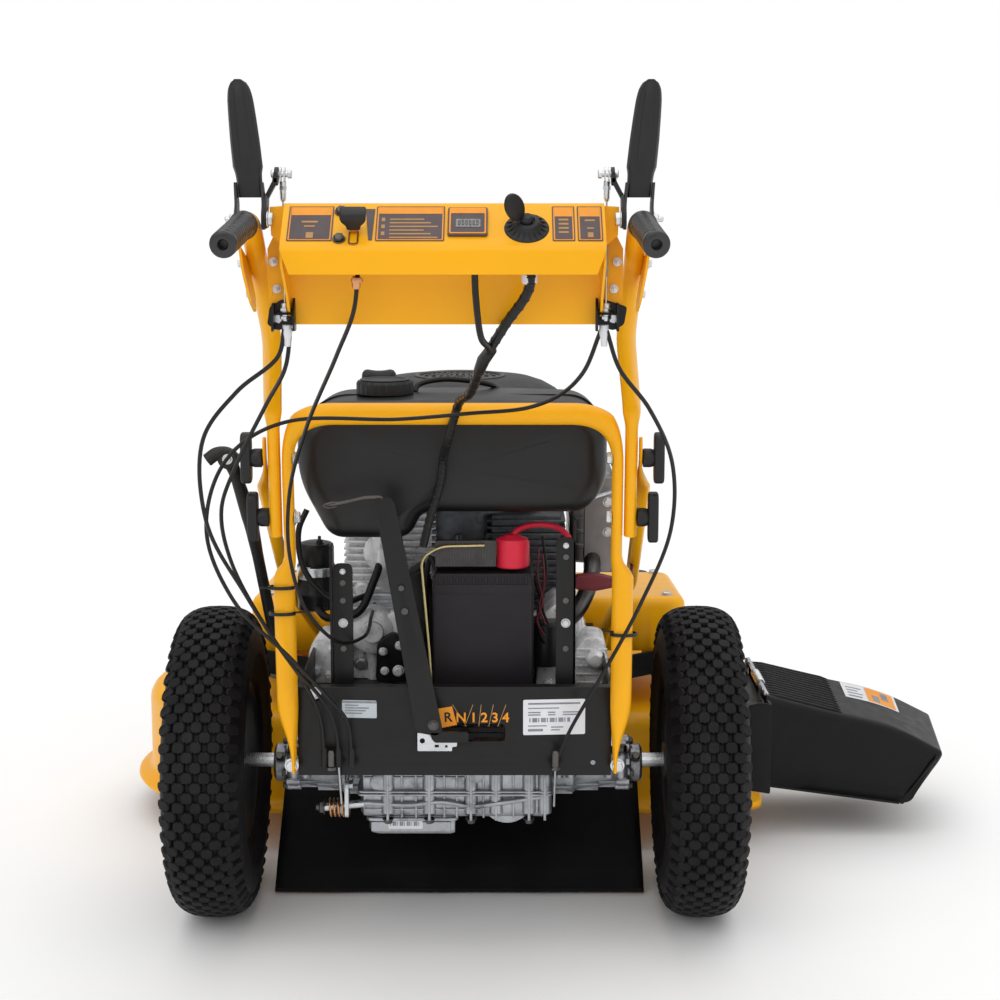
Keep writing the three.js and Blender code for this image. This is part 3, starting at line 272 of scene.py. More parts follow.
class Shape:
    def __init__(self):
        self.points = []
        self.faces = []

    def mesh(self, points, faces):
        start = len(self.points)
        self.points.extend(Vector(point) for point in points)
        self.faces.extend([start + corner for corner in face] for face in faces)
        return self

    def skin(self, rings, loop=False, caps=True, ring_closed=True):
        """Faces between rings of equally many points."""
        count = len(rings[0])
        start = len(self.points)
        for ring in rings:
            self.points.extend(Vector(point) for point in ring)
        last = len(rings) if loop else len(rings) - 1
        around = count if ring_closed else count - 1
        for i in range(last):
            here, there = start + i * count, start + ((i + 1) % len(rings)) * count
            for j in range(around):
                k = (j + 1) % count
                self.faces.append([here + j, here + k, there + k, there + j])
        if caps and not loop:
            self.faces.append([start + j for j in range(count)][::-1])
            self.faces.append([start + (len(rings) - 1) * count + j for j in range(count)])
        return self

    def block(self, x0, x1, y0, y1, z0, z1):
        return self.skin([
            [(x0, y0, z), (x1, y0, z), (x1, y1, z), (x0, y1, z)] for z in (z0, z1)])

    def sweep(self, points, radius, sides=14, section=None):
        """A tube along points. radius is a number, or one for each point.

        section is a list of (right, up) shares of the radius.
        """
        points = [Vector(point) for point in points]
        radii = radius if isinstance(radius, (list, tuple)) else [radius] * len(points)
        section = section or around(sides)
        tangents = []
        for i, point in enumerate(points):
            ahead = points[min(i + 1, len(points) - 1)] - points[max(i - 1, 0)]
            tangents.append(ahead.normalized())
        side = tangents[0].orthogonal().normalized()
        rings = []
        for point, tangent, r in zip(points, tangents, radii):
            side = (side - tangent * side.dot(tangent)).normalized()
            up = tangent.cross(side)
            rings.append([point + side * (a * r) + up * (b * r) for a, b in section])
        return self.skin(rings)

    def rod(self, radius, start, end, sides=20):
        return self.sweep([start, end], radius, sides)

    def wire(self, points, steps, radius, sides=14):
        """A tube along a smooth curve through the points."""
        return self.sweep(smooth_route(points, steps), radius, sides)

    def lathe(self, profile, centre=(0, 0, 0), axis=(0, 0, 1), steps=40):
        """A profile of (radius, height) turned about an axis.

        Its ends close if they lie on the axis or meet.
        """
        axis = Vector(axis).normalized()
        right = axis.orthogonal().normalized()
        ahead = axis.cross(right)
        centre = Vector(centre)
        rings = []
        for a, b in around(steps):
            out = right * a + ahead * b
            rings.append([centre + out * r + axis * h for r, h in profile])
        return self.skin(rings, loop=True, ring_closed=False)

    def slab(self, outline, thickness, axes, holes=(), bevel=0.0):
        """A flat outline, with holes, as thick as asked.

        axes is (origin, right, up), and the slab grows along right x up.
        """
        curve = bpy.data.curves.new("outline", "CURVE")
        curve.dimensions = "2D"
        curve.fill_mode = "BOTH"
        curve.extrude = thickness / 2 - bevel
        curve.bevel_depth = bevel
        curve.offset = -bevel
        curve.bevel_resolution = 1
        for points in (outline, *holes):
            spline = curve.splines.new("POLY")
            spline.points.add(len(points) - 1)
            for target, (u, v) in zip(spline.points, points):
                target.co = (u, v, 0, 1)
            spline.use_cyclic_u = True
        temporary = bpy.data.objects.new("outline", curve)
        flat = bpy.data.meshes.new_from_object(temporary)
        origin, right, up = (Vector(value) for value in axes)
        out = right.cross(up)
        middle = origin + out * (thickness / 2)
        points = [middle + right * v.co.x + up * v.co.y + out * v.co.z for v in flat.vertices]
        self.mesh(points, [list(face.vertices) for face in flat.polygons])
        bpy.data.objects.remove(temporary)
        bpy.data.curves.remove(curve)
        bpy.data.meshes.remove(flat)
        return self

    def slab_y(self, outline, y0, y1, holes=(), bevel=0.0):
        """An outline in X and Z, from y0 back to y1."""
        return self.slab(outline, y1 - y0, ((0, y1, 0), (1, 0, 0), (0, 0, 1)), holes, bevel)

    def slab_x(self, outline, x0, x1, holes=(), bevel=0.0):
        return self.slab(outline, x1 - x0, ((x0, 0, 0), (0, 1, 0), (0, 0, 1)), holes, bevel)

    def slab_z(self, outline, z0, z1, holes=(), bevel=0.0):
        return self.slab(outline, z1 - z0, ((0, 0, z0), (1, 0, 0), (0, 1, 0)), holes, bevel)

    def bolt(self, centre, axis, across=10, height=5, washer=True, nut=False):
        """A hexagon head standing on a washer, with a threaded end if it is a nut."""
        centre, axis = Vector(centre), Vector(axis).normalized()
        r = across / 2 / math.cos(math.pi / 6)
        base = 0.0
        if washer:
            self.lathe([(0, 0), (r * 1.25, 0), (r * 1.25, 1.2), (0, 1.2)], centre, axis, 20)
            base = 1.2
        top = base + height
        self.lathe([(0, base), (r, base), (r, base + height * 0.8), (r * 0.86, top), (0, top)], centre,
                   axis, 6)
        if nut:
            thread, tip = across * 0.28, across * 0.2
            self.lathe([(0, base), (thread, base), (thread, top + 4), (tip, top + 5), (0, top + 5)], centre,
                       axis, 12)
        return self

    def moved(self, change):
        self.points = [Vector(change(point)) for point in self.points]
        return self


def circle(x, y, r, steps=14):
    return [(x + a, y + b) for a, b in around(steps, r)]


def rounded(corners, radius, steps=5):
    """A polygon with its corners rounded. radius is a number, or one for each corner."""
    count = len(corners)
    radii = radius if isinstance(radius, (list, tuple)) else [radius] * count
    points = []
    for i, corner in enumerate(corners):
        here = Vector(corner)
        before = Vector(corners[i - 1]) - here
        after = Vector(corners[(i + 1) % count]) - here
        reach = min(radii[i], before.length * 0.49, after.length * 0.49)
        start = here + before.normalized() * reach
        end = here + after.normalized() * reach
        for step in range(steps + 1):
            t = step / steps
            points.append(tuple(start * (1 - t) ** 2 + here * (2 * t * (1 - t)) + end * t ** 2))
    return points


def rectangle(x0, x1, y0, y1, radius=0.0, steps=5):
    corners = [(x0, y0), (x1, y0), (x1, y1), (x0, y1)]
    return rounded(corners, radius, steps) if radius else corners


def bent_path(corners, bend, steps=10):
    """Straight runs with rounded corners, as the frame's tubes have."""
    corners = [Vector(corner) for corner in corners]
    points = [corners[0]]
    for i in range(1, len(corners) - 1):
        before = corners[i] + (corners[i - 1] - corners[i]).normalized() * bend
        after = corners[i] + (corners[i + 1] - corners[i]).normalized() * bend
        for step in range(steps + 1):
            t = step / steps
            points.append(before * (1 - t) ** 2 + corners[i] * (2 * t * (1 - t)) + after * t ** 2)
    return [*points, corners[-1]]


def filled_in(points, spacing):
    """The same path with more points, so that a tube along it can be pressed."""
    dense = [points[0]]
    for a, b in zip(points, points[1:]):
        steps = max(1, round((b - a).length / spacing))
        dense.extend(a.lerp(b, i / steps) for i in range(1, steps + 1))
    return dense


def smooth_route(points, steps=10):
    """A centripetal Catmull-Rom curve through the points."""
    points = [Vector(point) for point in points]
    ends = [points[0] * 2 - points[1], *points, points[-1] * 2 - points[-2]]
    route = []
    for p0, p1, p2, p3 in zip(ends, ends[1:], ends[2:], ends[3:]):
        t0 = 0.0
        t1 = t0 + math.sqrt((p1 - p0).length)
        t2 = t1 + math.sqrt((p2 - p1).length)
        t3 = t2 + math.sqrt((p3 - p2).length)
        for step in range(steps):
            t = between(t1, t2, step / steps)
            a1 = p0 * ((t1 - t) / (t1 - t0)) + p1 * ((t - t0) / (t1 - t0))
            a2 = p1 * ((t2 - t) / (t2 - t1)) + p2 * ((t - t1) / (t2 - t1))
            a3 = p2 * ((t3 - t) / (t3 - t2)) + p3 * ((t - t2) / (t3 - t2))
            b1 = a1 * ((t2 - t) / (t2 - t0)) + a2 * ((t - t0) / (t2 - t0))
            b2 = a2 * ((t3 - t) / (t3 - t1)) + a3 * ((t - t1) / (t3 - t1))
            route.append(b1 * ((t2 - t) / (t2 - t1)) + b2 * ((t - t1) / (t2 - t1)))
    return [*route, points[-1]]


def press(shape, side, low, high, blend, start, end, radius, half):
    """Presses a tube flatter in X between two heights, as the frame's solids are."""
    ease = lambda t: t * t * (3 - 2 * t)
    step = lambda a, b, value: ease(limited((value - a) / (b - a)))
    for point in shape.points:
        if side * point.x <= 0:
            continue
        inside = min(step(low - blend, low, point.z), 1 - step(high, high + blend, point.z))
        offset = side * point.x - start
        core = max(-radius, min(radius, offset))
        pressed = end + core * (half / radius) + offset - core
        point.x = side * between(start + offset, pressed, inside)


def make(name, shape, look, bevel=0.0, body="chassis", segments=2, angle=38, replaces=None):
    """Turns a shape into an object that rides on a body, or on none if it runs between two."""
    mesh = bpy.data.meshes.new(name)
    mesh.from_pydata([place(point) for point in shape.points], [], shape.faces)
    work = bmesh.new()
    work.from_mesh(mesh)
    bmesh.ops.remove_doubles(work, verts=work.verts, dist=0.00002)
    bmesh.ops.recalc_face_normals(work, faces=work.faces)
    work.to_mesh(mesh)
    work.free()
    mesh.materials.append(LOOK[look])
    mesh.shade_smooth()
    mesh.set_sharp_from_angle(angle=math.radians(angle))
    made = bpy.data.objects.new(name, mesh)
    bpy.context.scene.collection.objects.link(made)
    if bevel:
        edge = made.modifiers.new("edges", "BEVEL")
        edge.width = bevel * MM
        edge.segments = segments
        edge.limit_method = "ANGLE"
        edge.angle_limit = math.radians(32)
        edge.use_clamp_overlap = True
    if body:
        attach(made, body)
    if replaces:
        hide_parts(replaces)
    return made


def thicken(made, thickness, offset=-1):
    sheet = made.modifiers.new("sheet", "SOLIDIFY")
    sheet.thickness = thickness * MM
    sheet.offset = offset


def repaint(node, look):
    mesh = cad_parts[node].data
    mesh.materials.clear()
    mesh.materials.append(LOOK[look])


# ---- rear wheels ----
WHEEL_X, WHEEL_R = 315, 203
LUG_ROWS = 51                # pairs of staggered rows round the tyre
LUG_SPACING = 20.5


def crown(x):
    """How far from the axle the tread's base is, x from the tyre's middle, and its slope."""
    table = [(0, 197.2), (14, 196.6), (24, 194.8), (32, 191.5), (38, 187), (42.5, 181), (46, 172)]
    x = abs(x)
    for (xa, ra), (xb, rb) in zip(table, table[1:]):
        if x <= xb:
            return between(ra, rb, (x - xa) / (xb - xa)), (rb - ra) / (xb - xa)
    return table[-1][1], -3.0


def tyre_shape():
    shape = Shape()
    half = [(197.2, 0), (196.9, 8), (196.3, 17), (194.8, 24), (191.5, 32), (187, 38), (181, 42.8),
            (173, 46.6), (164, 49.4), (154, 50.9), (146, 51.0), (143.5, 51.7), (140.5, 51.7), (138, 50.4),
            (128, 48.2), (117, 44.6), (114, 44.6), (111, 43.4), (108, 40.6), (103.5, 36.8), (101.8, 33.0),
            (105, 29)]
    profile = [(r, -x) for r, x in reversed(half[1:])] + half
    shape.lathe([*profile, profile[0]], (0, 0, 0), (1, 0, 0), 120)
    zigzag = [(0, 7.2), (3.6, 8.2), (6.9, 4.6), (7.2, -2.6), (4.6, -7.4), (2.6, -5.8), (0, -8.2),
              (-2.6, -5.8), (-4.6, -7.4), (-7.2, -2.6), (-6.9, 4.6), (-3.6, 8.2)]
    for row in range(LUG_ROWS * 2):
        angle = math.tau * row / (LUG_ROWS * 2)
        shift = 0.5 if row % 2 else 0.0
        columns = [-1.5, -0.5, 0.5, 1.5] if shift else [-2, -1, 0, 1, 2]
        for column in columns:
            edge = abs(column) > 1.9
            centre = column * LUG_SPACING * (0.93 if edge else 1.0)
            rings = []
            for rise, grow in ((-2.0, 1.14), (4.0, 0.98), (5.7, 0.86)):
                ring = []
                for s, t in zigzag:
                    across = centre + s * grow
                    base, slope = crown(across)
                    lean = math.atan(slope) * (1 if across > 0 else -1)
                    r = base + rise * math.cos(lean)
                    x = across - rise * math.sin(lean)
                    turn = angle + t * grow / WHEEL_R
                    ring.append((x, -r * math.cos(turn), r * math.sin(turn)))
                rings.append(ring)
            shape.skin(rings)
    return shape


def rim_shape(side):
    shape = Shape()
    dish = side * 8
    profile = [(101.4, -37), (104, -38.5), (104, -36), (100.5, -33), (99, -22), (95, -16), (95, 16),
               (99, 22), (100.5, 33), (104, 36), (104, 38.5), (101.4, 37), (98, 34), (94, 22),
               (90, dish + 5), (62, dish + 6), (50, dish + 12), (34, dish + 10), (30, 29.5), (10.2, 29.5),
               (10.2, -45.5), (23, -45.5), (26, dish - 3), (88, dish - 3), (92, -20), (98, -34)]
    shape.lathe([*profile, profile[0]], (0, 0, 0), (1, 0, 0), 72)
    return shape


def wheel(name, side):
    body = f"wheel_{name}"
    out = lambda p: (p.x + side * WHEEL_X, p.y, p.z + WHEEL_R)
    make(f"tyre_{name}_tread", tyre_shape().moved(out), "tyre", 0.45, body=body, segments=1, angle=30,
         replaces=f"tyre_{name}")
    make(f"rim_{name}_disc", rim_shape(side).moved(out), "rim", body=body, segments=1,
         replaces=f"rim_{name}")
    nuts = Shape()
    for y, z in around(5, 57, 0.3):
        nuts.bolt((side * (WHEEL_X + 17), y, WHEEL_R + z), (side, 0, 0), 14, 8)
    nuts.rod(3, (side * (WHEEL_X + 12), 0, WHEEL_R + 84), (side * (WHEEL_X + 34), 0, WHEEL_R + 88), 12)
    nuts.bolt((side * (WHEEL_X + 29.6), 0, WHEEL_R), (side, 0, 0), 17, 5)
    make(f"wheel_nuts_{name}", nuts, "zinc", 0.3, body=body)
    repaint(f"axle_{name}", "steel")


for NAME, SIDE in SIDES.items():
    wheel(NAME, SIDE)


# ---- front beam, casters ----
NOSE_Y, CASTER_X, CASTER_Y = 860, 300, 912


def front_beam():
    beam = Shape()
    section = rectangle(NOSE_Y - 25, NOSE_Y + 25, 222, 262, 6)
    beam.slab_x(section, -330, 330, bevel=0.8)
    for side in SIDES.values():
        beam.lathe([(12.4, 206), (24, 206), (25, 208), (25, 262), (24, 264), (12.4, 264), (12.4, 206)],
                   (side * CASTER_X, CASTER_Y, 0), steps=36)
        web = [(side * CASTER_X - 22, NOSE_Y + 22), (side * CASTER_X + 22, NOSE_Y + 22),
               (side * CASTER_X + 15, CASTER_Y - 14), (side * CASTER_X - 15, CASTER_Y - 14)]
        beam.slab_z(web, 224, 260)
        beam.block(side * 331 - 1.5, side * 331 + 1.5, NOSE_Y - 24, NOSE_Y + 24, 223, 261)
    make("front_beam_tube", beam, "black_paint", 1.0, replaces="front_beam")
    bolts = Shape()
    for x in (-150, -90, 90, 150):
        bolts.bolt((x, NOSE_Y + 25, 242), (0, 1, 0), 14, 7)
    make("front_beam_bolts", bolts, "zinc", 0.3)


def caster(name, side):
    x = side * CASTER_X
    fork = Shape()
    outline = rounded([(-64, 205.4), (24, 205.4), (24, 192), (-34, 84), (-50, 74), (-66, 84), (-68, 170)],
                      [4, 4, 10, 12, 14, 12, 10])
    for end in (-1, 1):
        centre = x + end * 30.5
        fork.slab_x([(CASTER_Y + a, b) for a, b in outline], centre - 2.5, centre + 2.5,
                    [circle(CASTER_Y - 50, 90, 6.2)], 0.8)
    fork.slab_z(rectangle(x - 33, x + 33, CASTER_Y - 64, CASTER_Y + 24, 5), 200, 205.6, bevel=0.8)
    fork.lathe([(0, 200), (12, 200), (12, 264.4), (19, 264.4), (19, 266.5), (17, 268), (0, 268)],
               (x, CASTER_Y, 0), steps=32)
    make(f"caster_fork_{name}_welded", fork, "black_paint", 0.6, body=f"caster_{name}",
         replaces=f"caster_fork_{name}")
    axle = Shape()
    axle.rod(6, (x - 35, CASTER_Y - 50, 90), (x + 35, CASTER_Y - 50, 90))
    axle.bolt((x - 33, CASTER_Y - 50, 90), (-1, 0, 0), 17, 6)
    axle.bolt((x + 33, CASTER_Y - 50, 90), (1, 0, 0), 17, 6, nut=True)
    make(f"caster_axle_{name}", axle, "zinc", 0.3, body=f"caster_{name}")
    wheel_centre = (x, CASTER_Y - 50, 90)
    tread = Shape()
    tread.lathe([(58, -18), (66, -22.4), (78, -22.8), (84, -20), (88, -14), (90, -7), (90, -4.6),
                 (88.6, -4.2), (88.6, -3), (90, -2.6), (90, 2.6), (88.6, 3), (88.6, 4.2), (90, 4.6),
                 (90, 7), (88, 14), (84, 20), (78, 22.8), (66, 22.4), (58, 18), (58, -18)], wheel_centre,
                (1, 0, 0), 64)
    body = f"caster_wheel_{name}"
    make(f"caster_tyre_{name}", tread, "tyre", body=body, segments=1, angle=40, replaces=body)
    hub = Shape()
    hub.lathe([(6.4, -22.6), (17, -22.6), (18, -20), (20, -9), (48, -7), (54, -17), (58, -18.5), (58, 18.5),
               (54, 17), (48, 7), (20, 9), (18, 20), (17, 22.6), (6.4, 22.6), (6.4, -22.6)], wheel_centre,
              (1, 0, 0), 48)
    make(f"caster_hub_{name}", hub, "rim", 0.3, body=body)


front_beam()
for NAME, SIDE in SIDES.items():
    caster(NAME, SIDE)


# ---- lower handle loop and its braces ----
LOOP_X, LOOP_TOP, LOOP_R = 200, 690, 12.7


def loop_y(z):
    return -196 - (z - 251) * 0.085


def lower_handle():
    leg = lambda side, z: (side * LOOP_X, loop_y(z), z)
    path = filled_in(bent_path([leg(-1, 251), leg(-1, LOOP_TOP), leg(1, LOOP_TOP), leg(1, 251)], 62, 20), 9)
    loop = Shape().sweep(path, LOOP_R, 28)
    for side in (-1, 1):
        press(loop, side, 518, 690, 24, LOOP_X, 192, LOOP_R, 6.7)
        press(loop, side, 240, 262, 78, LOOP_X, 194.2, LOOP_R, 3)
    make("lower_handle_loop", loop, "yellow", replaces="lower_handle")


def brace(name, side):
    route = bent_path([(side * 218.2, -230, 662), (side * 218.8, -229, 628), (side * 225, -190, 601),
                       (side * 230, 70, 428), (side * 204, 216, 330), (side * 200, 236, 303)], 22, 12)
    path = filled_in(route, 8)
    tube = Shape().sweep(path, 8.5, 24)
    for point in tube.points:
        ease = limited((point.z - 600) / 26)
        middle = 218.4
        flat = middle + (side * point.x - middle) * 0.24
        point.x = side * between(side * point.x, flat, ease)
        point.y = between(point.y, -229 + (point.y + 229) * 1.35, ease)
        if point.z > 652:
            spread = (point.z - 652) / 10
            point.y = -229 + (point.y + 229) * math.sqrt(max(0.05, 1 - spread * spread * 0.9))
    make(f"handle_brace_{name}_tube", tube, "yellow", replaces=f"handle_brace_{name}")


lower_handle()
for NAME, SIDE in SIDES.items():
    brace(NAME, SIDE)

# ---- upper handle ----
PIVOT = Vector((191.5, -525, 918))
GRIP_DIRECTION = Vector((0.045, -0.99, -0.14)).normalized()
GRIP_START = 78
HANDLE_X, TUBE_R = 190, 10.5
KNOBS = {"lower": (567, 215.4), "upper": (638, 221)}


def along_grip(side, distance):
    point = PIVOT + GRIP_DIRECTION * distance
    return Vector((side * point.x, point.y, point.z))


def handle_tube(name, side):
    path = bent_path([(side * 207.5, loop_y(545), 545), (side * 207.5, loop_y(694), 694),
                      (side * HANDLE_X, -372, 790), (side * PIVOT.x, PIVOT.y, PIVOT.z),
                      along_grip(side, GRIP_START)], 24, 12)
    tube = Shape().sweep(filled_in(path, 8), TUBE_R, 24)
    press(tube, side, 500, 672, 24, 207.5, 207.5, TUBE_R, 7.4)
    make(f"handle_tube_{name}_bent", tube, "yellow", body="upper_handle", replaces=f"handle_tube_{name}")


def grip(name, side):
    outward = Vector((side * GRIP_DIRECTION.x, GRIP_DIRECTION.y, GRIP_DIRECTION.z))
    start = along_grip(side, GRIP_START)
    profile = [(10.7, -46), (13.2, -46), (14.2, -44), (14.2, -41), (13, -39.5)]
    for ring in range(11):
        h = -37 + ring * 8.4
        profile += [(13.0, h), (13.0, h + 5.2), (12.5, h + 5.9), (12.5, h + 7.4)]
    profile += [(13.0, 57), (13.0, 63), (12.4, 65.6), (11.2, 66.6), (5.4, 66.6), (4.4, 65.4), (4.4, 56),
                (0, 56)]
    sleeve = Shape().lathe([(r, h + 0.6) for r, h in profile], start, outward, 40)
    make(f"grip_{name}_sleeve", sleeve, "grip", body="upper_handle", segments=1, angle=50,
         replaces=f"grip_{name}")


def knob(level, name, side):
    z, inset = KNOBS[level]
    body = f"knob_{level}_{name}"
    centre = Vector((side * inset, loop_y(z), z))
    shape = Shape()
    shape.lathe([(0, 0), (10.4, 0), (11, 1), (11, 9), (9.6, 13), (9, 16), (0, 16)], centre, (side, 0, 0),
                32)
    outline = rounded([(-12, -30), (12, -30), (13, 0), (12, 30), (-12, 30), (-13, 0)],
                      [11, 11, 30, 11, 11, 30], 6)
    wing = [(centre.y + a, centre.z + b) for a, b in outline]
    shape.slab_x(wing, *pair(side, inset + 13, inset + 24.6), bevel=2.2)
    make(f"{body}_wing", shape, "plastic", 0.8, body=body, segments=3, replaces=body)


def handle_bolts():
    fixed = Shape()
    for side in SIDES.values():
        for z, _ in KNOBS.values():
            fixed.bolt((side * 185.2, loop_y(z), z), (-side, 0, 0), 13, 5)
    make("loop_bolts", fixed, "zinc", 0.3)


for NAME, SIDE in SIDES.items():
    handle_tube(NAME, SIDE)
    grip(NAME, SIDE)
    knob("lower", NAME, SIDE)
    knob("upper", NAME, SIDE)
handle_bolts()

# ---- console ----
CONSOLE_X = 158
NEAR, FAR = Vector((-566, 891)), Vector((-515, 931))
SLOPE = (FAR - NEAR).normalized()
UP_SLOPE = Vector((0, SLOPE.x, SLOPE.y))
OFF_SLOPE = Vector((0, -SLOPE.y, SLOPE.x))
SHEET = 2.6


def on_console(x, share, height=0.0):
    """A point on the console's top: a share of the way up its slope, and a height off it."""
    base = NEAR.lerp(FAR, share)
    return Vector((x, base.x, base.y)) + OFF_SLOPE * height


def console_axes(x, share, height=0.0):
    return on_console(x, share, SHEET + height), Vector((1, 0, 0)), UP_SLOPE


def console():
    sheet = Shape()
    t = 2.5
    fold = rounded([(-566, 866), tuple(NEAR), tuple(FAR), (-488, 812), (-488 + t, 812),
                    (FAR.x + t + 1, FAR.y + t), (FAR.x - 1, FAR.y + t), (NEAR.x - t, NEAR.y + 1),
                    (NEAR.x - t, 866)], [0, 3, 3, 0, 0, 5, 5, 5, 0], 4)
    sheet.slab_x(fold, -CONSOLE_X, CONSOLE_X)
    for point in sheet.points:
        if point.y < -560 and point.z < 889:
            point.x *= 1 - (889 - point.z) / 23 * 0.055
    make("console_fold", sheet, "yellow", 0.5, body="upper_handle", replaces="console_panel")
    ends = Shape()
    for side in SIDES.values():
        ends.slab_x([(-565, 874), (-565, 891), (-515, 930), (-487, 926), (-487, 818), (-500, 822),
                     (-520, 842)],
                    *pair(side, CONSOLE_X - t, CONSOLE_X),
                    [rounded([(-500, 852), (-497, 854), (-508, 874), (-511, 872)], 1.4, 2)])
        edge = HANDLE_X - TUBE_R - 0.6
        wing = [(CONSOLE_X - 1, 818), (edge - 8, 814), (edge, 824), (edge, 888), (173, 900), (172, 929),
                (CONSOLE_X - 1, 929)]
        outline = [(side * x, z) for x, z in wing]
        ends.slab_y(outline, -489.4, -486.9, [circle(side * 173, 875, 3.4), circle(side * 170, 848, 3.4)])
        lip = [(CONSOLE_X - 1, 889), (172, 902), (173, 930), (CONSOLE_X - 1, 931)]
        ends.slab_y([(side * x, z) for x, z in lip], -514, -511.6)
        outer = [(-518, 892), (-474, 876), (-462, 838), (-474, 822), (-500, 836), (-520, 868)]
        ends.slab_x(rounded(outer, 6), *pair(side, 202, 204.6))
    for point in ends.points:
        if abs(point.x) > 201:
            point.x -= math.copysign(9, point.x) * limited((892 - point.z) / 70)
    make("console_ends", ends, "yellow", 0.5, body="upper_handle")
    bolts = Shape()
    for side in SIDES.values():
        for x, z in ((173, 875), (170, 848)):
            bolts.bolt((side * x, -489.8, z), (0, -1, 0), 6.4, 4, nut=True)
        for y, z in ((-506, 874), (-478, 842)):
            bolts.bolt((side * (204.8 - 9 * (892 - z) / 70), y, z), (side, 0, 0), 7, 3)
    make("console_bolts", bolts, "zinc", 0.3, body="upper_handle")


def decal(name, x0, x1, bars, header=0.74):
    """A printed plate: a dark field in an orange frame, with a header band and plain bars for its lines."""
    axes = console_axes(0, 0, 0.15)
    length = (FAR - NEAR).length
    low, high = 0.12 * length, 0.93 * length
    field, frame_shape, marks = Shape(), Shape(), Shape()
    field.slab(rectangle(x0, x1, low, high, 1.5), 0.35, axes)
    inner = rectangle(x0 + 2.4, x1 - 2.4, low + 2, high - 2, 1)
    frame_shape.slab(rectangle(x0 + 1.2, x1 - 1.2, low + 1, high - 1, 1.2), 0.5, axes, [inner])
    top = between(low, high, header)
    frame_shape.slab(rectangle(x0 + 2, x1 - 2, top, high - 1.6), 0.5, axes)
    for u, v, width, height in bars:
        marks.slab(rectangle(between(x0, x1, u), between(x0, x1, u + width), between(low, high, v),
                             between(low, high, v + height)), 0.55, axes)
    make(f"decal_{name}_field", field, "decal", body="upper_handle")
    make(f"decal_{name}_frame", frame_shape, "orange", body="upper_handle")
    if bars:
        make(f"decal_{name}_marks", marks, "decal_mark", body="upper_handle")


def console_fittings():
    decal("drive", -152, -108, [(0.3, 0.52, 0.36, 0.05), (0.36, 0.4, 0.24, 0.04), (0.42, 0.08, 0.16, 0.16)])
    lines = [(0.2, 0.60 - i * 0.105, 0.5 + 0.3 * ((i * 7) % 3) / 3, 0.035) for i in range(6)]
    decal("use", -66, 1, [*lines, *[(0.08, 0.56 - i * 0.2, 0.05, 0.1) for i in range(3)]], 0.78)
    decal("service", 106, 128, [(0.28, 0.58 - i * 0.12, 0.44, 0.05) for i in range(4)], 0.7)
    decal("blade", 130.5, 155, [(0.3, 0.56, 0.4, 0.05), (0.38, 0.34, 0.28, 0.04), (0.4, 0.1, 0.22, 0.14)],
          0.7)
    wedge = Shape().slab([(-72.5, 9), (-69, 9), (-67.6, 56), (-77, 56)], 0.5, console_axes(0, 0, 0.15))
    make("speed_wedge", wedge, "decal", body="upper_handle")
    meter = Shape().slab(rectangle(4, 43, 14, 56, 2.5), 3.2, console_axes(0, 0, 0), bevel=0.8)
    make("hour_meter_case", meter, "decal", body="upper_handle")
    ring = Shape().slab(rectangle(5.6, 41.4, 15.6, 54.4, 2), 0.5, console_axes(0, 0, 3.1),
                        [rectangle(7, 40, 17, 46, 1.5)])
    make("hour_meter_frame", ring, "orange", body="upper_handle")
    screen = Shape().slab(rectangle(12, 36, 25, 37, 1.2), 0.5, console_axes(0, 0, 3.2))
    make("hour_meter_screen", screen, "screen", body="upper_handle")
    digits = Shape()
    for i in range(6):
        x = 14.4 + i * 3.5
        digits.slab(rectangle(x, x + 2.1, 27.6, 34.4, 0.4), 0.3, console_axes(0, 0, 3.75),
                    [rectangle(x + 0.6, x + 1.5, 29, 33)])
    make("hour_meter_digits", digits, "decal", body="upper_handle")
    bolts = Shape()
    for share in (0.16, 0.8):
        bolts.bolt(on_console(-101, share, SHEET), OFF_SLOPE, 9, 4)
    make("throttle_screws", bolts, "dark_steel", 0.3, body="upper_handle")
    slot_rim = Shape().slab(rectangle(-92, -82, 2, 44, 4), 0.7, console_axes(0, 0, 0.1),
                            [rectangle(-90.6, -83.4, 4, 42, 3)])
    make("throttle_slot_rim", slot_rim, "brass", body="upper_handle")


def throttle():
    base = on_console(-87, 0.36, -28)
    lifted = lambda along: (base + UP_SLOPE * along, Vector((1, 0, 0)), OFF_SLOPE)
    stem = Shape()
    stem.slab(rectangle(-1.6, 1.6, 0, 46), 8, lifted(4))
    stem.rod(6, base + Vector((-8, 0, 0)), base + Vector((8, 0, 0)))
    for x in (-2.1, 2.1):
        stem.slab(rectangle(x - 1.1, x + 1.1, 24, 44, 0.6), 7, lifted(3.5))
    make("throttle_stem", stem, "brass", 0.3, body="throttle_lever")
    cap = Shape()
    outline = rounded([(-6.5, 36), (6.5, 36), (7.2, 41), (12.4, 46), (13, 56), (-13, 56), (-12.4, 46),
                       (-7.2, 41)],
                      [2, 2, 4, 6, 3, 3, 6, 4], 5)
    cap.slab(outline, 14, lifted(7), bevel=1.8)
    make("throttle_cap", cap, "plastic", 0.6, body="throttle_lever", replaces="throttle_lever")


